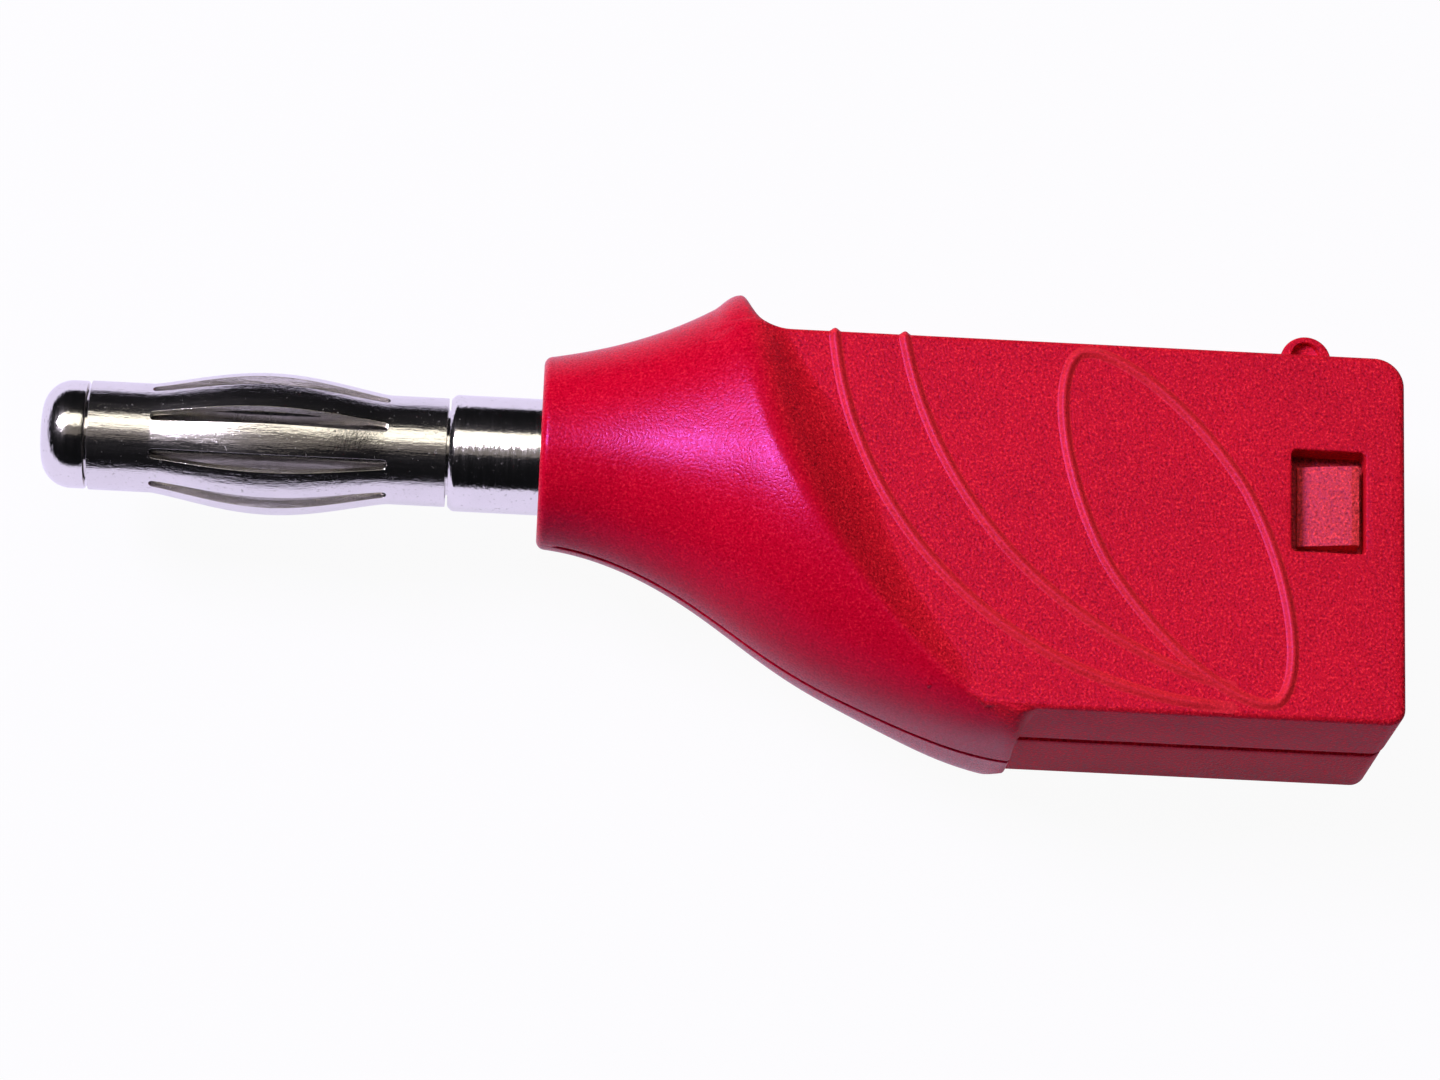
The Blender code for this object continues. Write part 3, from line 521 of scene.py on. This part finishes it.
SATIN_BEHIND, SATIN_FADE = 0.5, 0.8
housing_red = red_plastic("red_moulded_plastic", RED, roughness=0.55, grain_depth=0.028,
                          speckle=0.70)
neck = new_piece("neck_and_ridge", neck_grid, (True, True), housing_red,
                 smooth_angle=50.0, replaced=["housing"])


def set_satin(piece, values):
    """Gives each point of a piece its share of satin: 0 is the eroded grain and 1 the gloss."""
    satin = piece.data.attributes.new("satin", "FLOAT", "POINT")
    satin.data.foreach_set("value", values)


# The mould is eroded behind the crest only, so the satin ends there.
neck_points = np.empty(3 * len(neck.data.vertices), np.float32)
neck.data.vertices.foreach_get("co", neck_points)
station, across, _ = ((neck_points.reshape(-1, 3) - plug_origin) / MM).T
set_satin(neck, smooth_step(ridge_x(across) + SATIN_BEHIND - station, 0.0, SATIN_FADE))


# Body: the flat rear part of the same moulding. Its rounded rim is carried round the plan outline,
# its two faces are flat with a latch window in each, and it is hollow and open at the rear.
BODY_REAR = 28.46
BODY_EDGE = 0.20
REAR_TOP_CORNER, REAR_BOTTOM_CORNER = 1.00, 0.55
SUPPORT = 0.25
HIDDEN_FRONT_SETBACK = 0.05
BODY_SEAM_WIDENING, BODY_SEAM_DEEPENING = 2.0, 2.2
SEAM_HEIGHTS = (1.0, 0.5, 0.33, 0.25, 0.15, 0.0)
OVERHANG, OVERHANG_HEIGHT = 0.035, 1.5
WINDOW_LENGTH, WINDOW_WIDTH, WINDOW_REAR_WALL = 2.44, 3.50, 1.31
WINDOW_CENTRE_Y = -1.49
WINDOW_CORNER, WINDOW_EDGE, WINDOW_DEPTH = 0.18, 0.07, 1.10
WALL = 0.85
CAVITY_FRONT, CAVITY_CORNER, CAVITY_EDGE, CAVITY_OVERRUN = 13.0, 0.50, 0.10, 1.0


def arc(centre, radius, first, last, count):
    """Points and outward directions along an arc in plan."""
    angle = np.linspace(first, last, count)
    out = np.stack((np.cos(angle), np.sin(angle)), axis=-1)
    return np.array(centre) + radius * out, out


def rounded_box(low, high, corner, count=7):
    """Rounded rectangle: points and outward directions, anticlockwise from the high corner."""
    near, far = np.array(low) + corner, np.array(high) - corner
    centres = ((far[0], far[1]), (near[0], far[1]), (near[0], near[1]), (far[0], near[1]))
    corners = [arc(centre, corner, quarter * np.pi / 2, (quarter + 1) * np.pi / 2, count)
               for quarter, centre in enumerate(centres)]
    return [np.concatenate(column) for column in zip(*corners)]


def body_outline():
    """Plan outline of the body, anticlockwise: top edge, hidden front, bottom edge, rear."""
    front_y = np.linspace(BODY_TOP, -BODY_BOTTOM, 24)
    front = np.stack((ridge_x(front_y) + HIDDEN_FRONT_SETBACK, front_y), axis=-1)
    front_out = np.tile((-1.0, 0.0), (len(front), 1))
    front_out[0], front_out[-1] = (0.0, 1.0), (0.0, -1.0)
    low = arc((BODY_REAR - REAR_BOTTOM_CORNER, -BODY_BOTTOM + REAR_BOTTOM_CORNER),
              REAR_BOTTOM_CORNER, -np.pi / 2, 0.0, 10)
    high = arc((BODY_REAR - REAR_TOP_CORNER, BODY_TOP - REAR_TOP_CORNER),
               REAR_TOP_CORNER, 0.0, np.pi / 2, 14)
    return (np.concatenate((front, low[0], high[0])),
            np.concatenate((front_out, low[1], high[1])))


def rim_profile():
    """Inset and height down the rim: edge rounding, wall, parting groove, and the same below.

    The lower wall stands in by a small overhang under the parting line, which fades downwards.
    """
    angle = np.linspace(0.0, np.pi / 2, 6)
    inset = BODY_EDGE * (1 - np.sin(angle))
    height = BODY_HALF_HEIGHT - BODY_EDGE * (1 - np.cos(angle))
    groove = np.array(SEAM_HEIGHTS)
    groove_depth = BODY_SEAM_DEEPENING * seam(groove, BODY_SEAM_WIDENING)
    upper = np.concatenate(([[BODY_EDGE + SUPPORT, BODY_HALF_HEIGHT]],
                            np.stack((inset, height), axis=-1),
                            np.stack((groove_depth, groove), axis=-1)))
    lower = upper[-2::-1] * (1.0, -1.0)
    on_wall = lower[:, 1] >= -BODY_HALF_HEIGHT + BODY_EDGE
    lower[:, 0] += on_wall * OVERHANG * np.exp(lower[:, 1] / OVERHANG_HEIGHT)
    return np.concatenate((upper, lower))


def window_outline():
    """The latch window's rim in plan: points and outward directions."""
    rear = BODY_REAR - WINDOW_REAR_WALL
    half = WINDOW_WIDTH / 2
    return rounded_box((rear - WINDOW_LENGTH, WINDOW_CENTRE_Y - half),
                       (rear, WINDOW_CENTRE_Y + half), WINDOW_CORNER)


def window_profile():
    """Growth and height down a window's wall: flat face, rounded edge, wall."""
    angle = np.linspace(0.0, np.pi / 2, 5)
    grow = WINDOW_EDGE * (1 - np.sin(angle))
    height = BODY_HALF_HEIGHT - WINDOW_EDGE * (1 - np.cos(angle))
    return np.concatenate(([[WINDOW_EDGE + SUPPORT, BODY_HALF_HEIGHT]],
                           np.stack((grow, height), axis=-1),
                           [[0.0, BODY_HALF_HEIGHT - WINDOW_DEPTH]]))


def wall_grid(outline, outward, profile):
    """A wall round an outline, with a row for each growth and height of the profile.

    A row is the outline moved outwards by the growth and lifted to the height.
    """
    grow, height = profile.T[..., None]
    across, along = (outline + grow[..., None] * outward).transpose(2, 0, 1)
    return plain_row(across, along, height)


def raw_mesh(name, grids, capped_rows, sides_to_fill=()):
    """Grids that close on themselves, as one mesh in the plug's axes, facing outwards.

    Each capped row, given by its grid's number and its own, is closed by one face. The open
    edges on each side to fill, up or down along Z, bound a flat face with holes, which is filled.
    """
    points, faces, firsts = [], [], []
    for grid in grids:
        firsts.append(sum(len(flat) for flat in points))
        points.append(grid.reshape(-1, 3))
        faces += (quads(*grid.shape[:2], False, True) + firsts[-1]).tolist()
    for number, row in capped_rows:
        rows, columns = grids[number].shape[:2]
        first = firsts[number] + row % rows * columns
        faces.append(list(range(first, first + columns)))
    mesh = bpy.data.meshes.new(name)
    mesh.from_pydata(np.concatenate(points).tolist(), [], faces)
    bm = bmesh.new()
    bm.from_mesh(mesh)
    for side in sides_to_fill:
        open_edges = [edge for edge in bm.edges if edge.is_boundary
                      and side * edge.verts[0].co.z > 0.0]
        bmesh.ops.triangle_fill(bm, use_beauty=True, normal=(0.0, 0.0, side), edges=open_edges)
    bmesh.ops.recalc_face_normals(bm, faces=bm.faces)
    bm.to_mesh(mesh)
    bm.free()
    return mesh


rim_inset, rim_height = rim_profile().T
rim_grid = wall_grid(*body_outline(), np.stack((-rim_inset, rim_height), axis=-1))
window_grid = wall_grid(*window_outline(), window_profile())
body_mesh = raw_mesh("body_shell", (rim_grid, window_grid, window_grid * (1.0, 1.0, -1.0)),
                     capped_rows=((1, -1), (2, -1)), sides_to_fill=(1.0, -1.0))

cavity_outline = rounded_box((-BODY_BOTTOM + WALL, -BODY_HALF_HEIGHT + WALL),
                             (BODY_TOP - WALL, BODY_HALF_HEIGHT - WALL), CAVITY_CORNER)
cavity_profile = np.array(((0.0, CAVITY_FRONT), (0.0, BODY_REAR - CAVITY_EDGE),
                           (CAVITY_EDGE, BODY_REAR), (CAVITY_EDGE, BODY_REAR + CAVITY_OVERRUN)))
cavity_grid = wall_grid(*cavity_outline, cavity_profile)[..., (2, 0, 1)]
cavity_mesh = raw_mesh("cavity", (cavity_grid,), capped_rows=((0, 0), (0, -1)))


def cut_away(mesh, cutter_mesh):
    """The mesh less the cutter, as a new mesh; both helpers are removed again."""
    blank = bpy.data.objects.new("blank", mesh)
    cutter = bpy.data.objects.new("cutter", cutter_mesh)
    for helper in (blank, cutter):
        bpy.context.scene.collection.objects.link(helper)
    step = blank.modifiers.new("cut", "BOOLEAN")
    step.operation = "DIFFERENCE"
    step.solver = "EXACT"
    step.object = cutter
    graph = bpy.context.evaluated_depsgraph_get()
    result = bpy.data.meshes.new_from_object(blank.evaluated_get(graph))
    for helper in (blank, cutter):
        bpy.data.objects.remove(helper)
    return result


body_mesh = cut_away(body_mesh, cavity_mesh)
body_mesh.transform(Matrix.Translation(Vector(plug_origin)) @ Matrix.Scale(MM, 4))
finish_mesh(body_mesh, smooth_angle=35.0)
body_mesh.materials.clear()
place_piece("body_shell", body_mesh, housing_red, ["housing"])


# Raised lines: two curved ribs that come round the short edge on to both faces, and the rim of the
# pointed oval. They are cut into the mould as shallow grooves, so they stand up as soft beads.
BEAD_HEIGHT, BEAD_HALF_WIDTH, BEAD_ROOT = 0.12, 0.23, 0.08
BEAD_SATIN = 0.25
# The beads' paler red is a painted highlight of the light that catches their raised sides.
BEAD_PAINTED_HIGHLIGHT_RED = (0.68, 0.024, 0.034)
# Name, centre in plan and radius of the arc of each rib.
RIB_ARCS = (("front_rib", 23.05, 4.94, 13.60), ("rear_rib", 26.13, 6.17, 14.54))
RIB_END_X = 23.00
RIB_FADE = 1.6
OVAL_CENTRE = (20.95, -2.62)
OVAL_HALF_LENGTH, OVAL_HALF_WIDTH, OVAL_POWER = 6.70, 2.65, 1.7
OVAL_TURN = math.radians(-60.5)


def bead(path, normal, level, closed):
    """A soft ridge along a path: height = level times cos squared of the way across.

    The across direction is the path's own direction crossed with the surface's normal; a root
    under the surface closes it.
    """
    along = np.gradient(path, axis=0)
    if closed:
        along = np.roll(path, -1, axis=0) - np.roll(path, 1, axis=0)
    across = np.cross(along, normal)
    across /= np.linalg.norm(across, axis=1, keepdims=True)
    way = np.linspace(-1.0, 1.0, 13)
    height = BEAD_HEIGHT * np.cos(way * np.pi / 2) ** 2 - SKIN
    way = np.concatenate(([-1.0], way, [1.0]))
    height = np.concatenate(([-BEAD_ROOT], height, [-BEAD_ROOT]))
    rise = np.where(height > 0, height * level[:, None], height)
    width = BEAD_HALF_WIDTH * (level > 0.0)[:, None] * way
    return path[:, None] + width[..., None] * across[:, None] + rise[..., None] * normal[:, None]


def rib_path(centre_x, centre_y, radius):
    """Up the lower face, round the short edge and down the upper face, with its normals."""
    turn_y = BODY_TOP - BODY_EDGE
    first = np.pi + math.asin((centre_y - turn_y) / radius)
    last = 2 * np.pi - math.acos((RIB_END_X - centre_x) / radius)
    angle = np.linspace(last, first, 110)
    face = plain_row(centre_x + radius * np.cos(angle), centre_y + radius * np.sin(angle),
                     BODY_HALF_HEIGHT)
    up = np.tile((0.0, 0.0, 1.0), (len(face), 1))
    edge_x = face[-1, 0]
    bend = np.linspace(0.0, np.pi / 2, 8)[1:]
    bend_out = np.stack((np.zeros_like(bend), np.sin(bend), np.cos(bend)), axis=-1)
    bend_path = np.array((edge_x, turn_y, BODY_HALF_HEIGHT - BODY_EDGE)) + BODY_EDGE * bend_out
    wall_z = np.linspace(BODY_HALF_HEIGHT - BODY_EDGE, 0.0, 14)[1:]
    wall = plain_row(edge_x, BODY_TOP, wall_z)
    wall_out = np.tile((0.0, 1.0, 0.0), (len(wall), 1))
    path = np.concatenate((face, bend_path, wall))
    normal = np.concatenate((up, bend_out, wall_out))
    flip = np.array((1.0, 1.0, -1.0))
    return (np.concatenate((path, path[-2::-1] * flip)),
            np.concatenate((normal, normal[-2::-1] * flip)))


def oval_path(side):
    """Oval: |along/length|^p + |across/width|^p = 1 with p below 2, turned in plan."""
    angle = np.linspace(0.0, 2 * np.pi, 181)[:-1]
    along = OVAL_HALF_LENGTH * np.sign(np.cos(angle)) * np.abs(np.cos(angle)) ** (2 / OVAL_POWER)
    across = OVAL_HALF_WIDTH * np.sign(np.sin(angle)) * np.abs(np.sin(angle)) ** (2 / OVAL_POWER)
    x = OVAL_CENTRE[0] + along * math.cos(OVAL_TURN) - across * math.sin(OVAL_TURN)
    y = OVAL_CENTRE[1] + along * math.sin(OVAL_TURN) + across * math.cos(OVAL_TURN)
    return (plain_row(x, y, side * BODY_HALF_HEIGHT),
            np.tile((0.0, 0.0, float(side)), (len(angle), 1)))


# The beads' paler red stands in for the light on their raised sides: a painted highlight.
bead_painted_highlight_red = red_plastic("raised_line_painted_highlight_plastic", BEAD_PAINTED_HIGHLIGHT_RED, roughness=0.50, grain_depth=0.014,
                       speckle=0.50)


def add_bead(name, path, normal, level, closed):
    """A raised line as a piece of its own, in a red a little paler than the faces as a painted
    highlight.
    """
    bead_grid = bead(path, normal, level, closed)
    piece = new_piece(name, bead_grid, (closed, True), bead_painted_highlight_red,
                      smooth_angle=60.0, replaced=["housing"])
    set_satin(piece, np.full(len(piece.data.vertices), BEAD_SATIN))


for rib_name, *rib_arc in RIB_ARCS:
    path, normal = rib_path(*rib_arc)
    steps = np.linalg.norm(np.diff(path, axis=0), axis=1)
    way = np.concatenate(([0.0], np.cumsum(steps)))
    level = smooth_step(np.minimum(way, way[-1] - way), 0.0, RIB_FADE)
    add_bead(rib_name, path, normal, level, False)
for side, word in ((1, "upper"), (-1, "lower")):
    path, normal = oval_path(side)
    add_bead(word + "_oval_rim", path, normal, np.ones(len(path)), True)


# Edge boss: a half-round lug on the short edge near the rear, with a round dimple in each end,
# where such housings are clipped side by side. It is part of the same moulding.
BOSS_X, BOSS_RADIUS, BOSS_STANDOUT, BOSS_HALF_LENGTH = 25.20, 0.84, 0.68, 3.75
BOSS_EDGE = 0.08
DIMPLE_RADIUS, DIMPLE_DEPTH, DIMPLE_BREAK = 0.47, 0.28, 0.03
DIMPLE_FILLET = ((0.12, 0.0), (0.03, 0.05), (0.0, 0.14))


def boss_row(radius, z, share):
    """A circle whose centre slides from the boss's axis to the dimple's as share goes to 1.

    The dimple's axis lies in the short edge, and the boss's a little inside it.
    """
    angle = np.linspace(0.0, 2 * np.pi, 65)[:-1]
    centre_y = mix(BODY_TOP + BOSS_STANDOUT - BOSS_RADIUS, BODY_TOP, share)
    return plain_row(BOSS_X + radius * np.cos(angle), centre_y + radius * np.sin(angle), z)


dimple_floor = BOSS_HALF_LENGTH - DIMPLE_DEPTH
half_boss = [boss_row(0.0, dimple_floor, 1.0)]
half_boss += [boss_row(DIMPLE_RADIUS - inset, dimple_floor + rise, 1.0)
              for inset, rise in DIMPLE_FILLET]
half_boss += [boss_row(DIMPLE_RADIUS, BOSS_HALF_LENGTH - DIMPLE_BREAK, 1.0),
              boss_row(DIMPLE_RADIUS + DIMPLE_BREAK, BOSS_HALF_LENGTH, 1.0)]
for angle in np.linspace(0.0, np.pi / 2, 5):
    half_boss.append(boss_row(BOSS_RADIUS - BOSS_EDGE * (1 - np.sin(angle)),
                              BOSS_HALF_LENGTH - BOSS_EDGE * (1 - np.cos(angle)), 0.0))
half_boss = np.array(half_boss)
boss_grid = np.concatenate((half_boss, half_boss[::-1] * (1.0, 1.0, -1.0)))
new_piece("edge_boss", boss_grid, (False, True), housing_red,
          smooth_angle=40.0, replaced=["housing"])


# Rear insert: a separate red moulding that is pushed in from the rear and snaps into the windows.
# It is a little paler than the housing, and its edges are broken all round.
INSERT_EDGE = 0.07
INSERT_WELD = 0.001
INSERT_FLAT_WITHIN, INSERT_SMOOTH_BELOW, INSERT_BROKEN_ABOVE = 1.0, 30.0, 40.0
INSERT_RED = (0.57, 0.038, 0.040)

insert_red = red_plastic("red_insert_plastic", INSERT_RED, roughness=0.45, grain_depth=0.035,
                         speckle=0.9)
insert_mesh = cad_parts["rear_insert"].data.copy()
insert_mesh.name = "rear_insert_body"
insert_mesh.materials.clear()
bm = bmesh.new()
bm.from_mesh(insert_mesh)
bmesh.ops.remove_doubles(bm, verts=bm.verts, dist=INSERT_WELD * MM)
bmesh.ops.dissolve_limit(bm, angle_limit=math.radians(INSERT_FLAT_WITHIN), verts=bm.verts,
                         edges=bm.edges)
bm.to_mesh(insert_mesh)
bm.free()
insert_mesh.shade_smooth()
insert_mesh.set_sharp_from_angle(angle=math.radians(INSERT_SMOOTH_BELOW))
insert = place_piece("insert_moulding", insert_mesh, insert_red, ["rear_insert"])
broken_edges = insert.modifiers.new("broken_edges", "BEVEL")
broken_edges.width = INSERT_EDGE * MM
broken_edges.segments = 3
broken_edges.limit_method = "ANGLE"
broken_edges.angle_limit = math.radians(INSERT_BROKEN_ABOVE)
broken_edges.harden_normals = True


# Contact pin: turned from brass bar and nickel-plated. A rounded head holds the sleeve in front,
# the core runs under it, and a thicker collar comes out of the neck behind it.
TIP_RADIUS, TIP_NOSE_RADIUS, TIP_FLAT_SHARE = 1.80, 0.80, 0.6
TIP_HEAD_LENGTH = 1.50
CORE_RADIUS = 1.42
COLLAR_RADIUS, COLLAR_STICKOUT = 1.95, 3.02
# Rounded edges: how far in from the radius, and how far from the end that the edge belongs to.
HEAD_EDGE = ((0.0, 0.08), (0.02, 0.03), (0.07, 0.0))
COLLAR_EDGE = ((0.14, 0.0), (0.03, 0.12), (0.0, 0.20))
PIN_REAR = 14.9
SHANK_RADIUS = 1.40
MARK_SCALE, PIT_SCALE, TONE_SCALE = 1000.0, 9000.0, 700.0
DARK_RANGE, DARK_SHADE, DARK_ROUGHNESS = (0.62, 0.78), 0.35, 0.15
TONE_SPREAD, MARK_ROUGHNESS = 0.16, 0.12
MARK_DEPTH = 0.004
PIN_NICKEL = (0.80, 0.78, 0.76)


def bright_metal(name, colour, roughness, mark_stretch, mark_level):
    """Plated or bare metal: fine marks along or round the piece, dark pits, soft tone changes."""
    def sockets(at):
        place = at.node("TexCoord", output="Object")
        stretched = at.node("Mapping", (), {"Vector": place, "Scale": mark_stretch})
        marks = at.node("TexNoise", (), {"Vector": stretched, "Scale": MARK_SCALE, "Detail": 4.0,
                                         "Roughness": 0.7})
        pits = at.node("TexNoise", (), {"Vector": place, "Scale": PIT_SCALE, "Detail": 2.0})
        cloud = at.node("TexNoise", (), {"Vector": place, "Scale": TONE_SCALE, "Detail": 3.0})
        dark = pits.within(*DARK_RANGE)
        tone = 1.0 - dark * DARK_SHADE + (cloud - 0.5) * TONE_SPREAD
        tint = at.node("VectorMath", {"operation": "SCALE"}, {0: colour, "Scale": tone})
        bump = at.node("Bump", (), {"Strength": 1.0, "Distance": MARK_DEPTH * MM,
                                    "Height": marks * mark_level + pits})
        return {"Base Color": tint, "Metallic": 1.0, "Normal": bump,
                "Roughness": (roughness + (marks - 0.5) * MARK_ROUGHNESS
                              + dark * DARK_ROUGHNESS)}
    return principled(name, sockets)


pin_nickel = bright_metal("turned_nickel_plate", PIN_NICKEL, roughness=0.12,
                          mark_stretch=(6.0, 0.6, 0.6), mark_level=3.5)


def turned(profile, count=128):
    """Revolved about the pin's axis: (radius, station forward of the housing) becomes circles."""
    angle = np.linspace(0.0, 2 * np.pi, count + 1)[:-1]
    radius, station = np.array(profile).T[..., None]
    return plain_row(-station, radius * np.cos(angle), radius * np.sin(angle))


corner = TIP_RADIUS - TIP_NOSE_RADIUS
head_rear = -PIN_TIP_X - TIP_HEAD_LENGTH
profile = [(0.0, -PIN_TIP_X), (TIP_NOSE_RADIUS * TIP_FLAT_SHARE, -PIN_TIP_X)]
profile += [(TIP_NOSE_RADIUS + corner * math.sin(a), -PIN_TIP_X - corner * (1 - math.cos(a)))
            for a in np.linspace(0.0, np.pi / 2, 16)]
profile += [(TIP_RADIUS - inset, head_rear + rise) for inset, rise in HEAD_EDGE]
profile += [(CORE_RADIUS, head_rear), (CORE_RADIUS, COLLAR_STICKOUT)]
profile += [(COLLAR_RADIUS - inset, COLLAR_STICKOUT - drop) for inset, drop in COLLAR_EDGE]
profile += [(COLLAR_RADIUS, -CAVITY_FRONT), (SHANK_RADIUS, -CAVITY_FRONT),
            (SHANK_RADIUS, -PIN_REAR), (0.0, -PIN_REAR)]
new_piece("turned_pin", turned(profile), (False, True), pin_nickel,
          smooth_angle=32.0, replaced=["contact_pin"])


# Spring sleeve: rolled from spring strip, slotted, pressed out between the slots and plated. The
# nine leaves keep their width as they bow, and they flatten a little where they stand out most.
SLEEVE_RADIUS, SLEEVE_WALL, SLEEVE_END_GAP = 1.82, 0.28, 0.10
LEAF_COUNT = 9
SLOT_WIDTH, SLOT_FRONT_MARGIN, SLOT_REAR_MARGIN = 0.32, 2.05, 1.93
SLOT_NARROWING = 0.05
BOW_RADIUS, BOW_POWER = 2.36, 1.2
SLEEVE_TURN = math.radians(14.5)
LEAF_FLATTENING = 0.45
LEAF_ROWS, LEAF_COLUMNS, END_ROWS = 58, 14, 4
SLEEVE_WELD = 0.002
LEAF_EDGE, LEAF_EDGE_ABOVE = 0.05, 50.0
SLEEVE_NICKEL = (0.78, 0.76, 0.74)

sleeve_front = head_rear - SLEEVE_END_GAP
sleeve_rear = COLLAR_STICKOUT + SLEEVE_END_GAP
slot_front = sleeve_front - SLOT_FRONT_MARGIN
slot_rear = sleeve_rear + SLOT_REAR_MARGIN
half_slot = SLOT_WIDTH / 2


def leaf_grid(middle, stations):
    """One leaf's part of the tube: the arc narrows by half a slot each side and moves outwards.

    The slot's half width h ends round, as h times sqrt(1 - (1 - distance/h)^2), and narrows in
    its middle by sin^2 of the share of the slot. The bow is the sine of that share to a power,
    and the leaf's arc goes towards a flat strip with sin^2 of it.
    """
    station = stations[:, None]
    from_end = np.clip(np.minimum(slot_front - station, station - slot_rear), 0.0, half_slot)
    open_half = half_slot * np.sqrt(1 - (1 - from_end / half_slot) ** 2)
    share = np.clip((station - slot_rear) / (slot_front - slot_rear), 0.0, 1.0)
    hump = np.sin(np.pi * share)
    half_turn = np.pi / LEAF_COUNT - (open_half - SLOT_NARROWING * hump ** 2) / SLEEVE_RADIUS
    across = np.linspace(-1.0, 1.0, LEAF_COLUMNS + 1) * half_turn
    side = SLEEVE_RADIUS * np.sin(across)
    rise = (SLEEVE_RADIUS * mix(np.cos(across), 1.0, LEAF_FLATTENING * hump ** 2)
            + (BOW_RADIUS - SLEEVE_RADIUS) * hump ** BOW_POWER)
    y = -math.sin(middle) * rise - math.cos(middle) * side
    z = math.cos(middle) * rise - math.sin(middle) * side
    return plain_row(-station, y, z)


round_end = half_slot * (1 - np.cos(np.linspace(0.0, np.pi / 2, 7)))
inside = np.linspace(slot_front - half_slot, slot_rear + half_slot, LEAF_ROWS + 2)[1:-1]
stations = np.concatenate((np.linspace(sleeve_front, slot_front, END_ROWS + 1)[:-1],
                           slot_front - round_end, inside, (slot_rear + round_end)[::-1],
                           np.linspace(slot_rear, sleeve_rear, END_ROWS + 1)[1:]))
leaves = np.array([leaf_grid(SLEEVE_TURN + 2 * math.pi * i / LEAF_COUNT, stations)
                   for i in range(LEAF_COUNT)])
leaf_starts = leaves[0, ..., 0].size * np.arange(LEAF_COUNT)[:, None, None]
leaf_faces = quads(*leaves.shape[1:3]) + leaf_starts
sleeve_mesh = bpy.data.meshes.new("leaf_sleeve")
sleeve_mesh.from_pydata(in_frame(leaves.reshape(-1, 3)).tolist(), [],
                        leaf_faces.reshape(-1, 4).tolist())
bm = bmesh.new()
bm.from_mesh(sleeve_mesh)
bmesh.ops.remove_doubles(bm, verts=bm.verts, dist=SLEEVE_WELD * MM)
bmesh.ops.recalc_face_normals(bm, faces=bm.faces)
bm.to_mesh(sleeve_mesh)
bm.free()
sleeve_mesh.shade_smooth()
sleeve_nickel = bright_metal("spring_nickel_plate", SLEEVE_NICKEL, roughness=0.16,
                             mark_stretch=(0.5, 5.0, 5.0), mark_level=3.0)
sleeve = place_piece("leaf_sleeve", sleeve_mesh, sleeve_nickel, ["spring_sleeve"])
wall = sleeve.modifiers.new("wall", "SOLIDIFY")
wall.thickness = SLEEVE_WALL * MM
wall.offset = -1.0
wall.use_even_offset = True
soft_edges = sleeve.modifiers.new("soft_edges", "BEVEL")
soft_edges.width = LEAF_EDGE * MM
soft_edges.segments = 3
soft_edges.limit_method = "ANGLE"
soft_edges.angle_limit = math.radians(LEAF_EDGE_ABOVE)
soft_edges.harden_normals = True


# Pieces inside the body, seen through the rear openings: the plated terminal block, the turned
# socket for the next plug and the steel clamp screw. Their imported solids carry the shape.
BLOCK_NICKEL, SCREW_STEEL = (0.72, 0.70, 0.66), (0.56, 0.56, 0.58)

block_nickel = bright_metal("satin_nickel_plate", BLOCK_NICKEL, roughness=0.30,
                            mark_stretch=(1.0, 1.0, 1.0), mark_level=0.8)
screw_steel = bright_metal("machined_steel", SCREW_STEEL, roughness=0.34,
                           mark_stretch=(1.0, 1.0, 4.0), mark_level=1.0)
for node, paint in (("terminal_block", block_nickel), ("rear_socket", block_nickel),
                    ("clamp_screw", screw_steel)):
    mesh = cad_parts[node].data
    mesh.materials.clear()
    mesh.materials.append(paint)
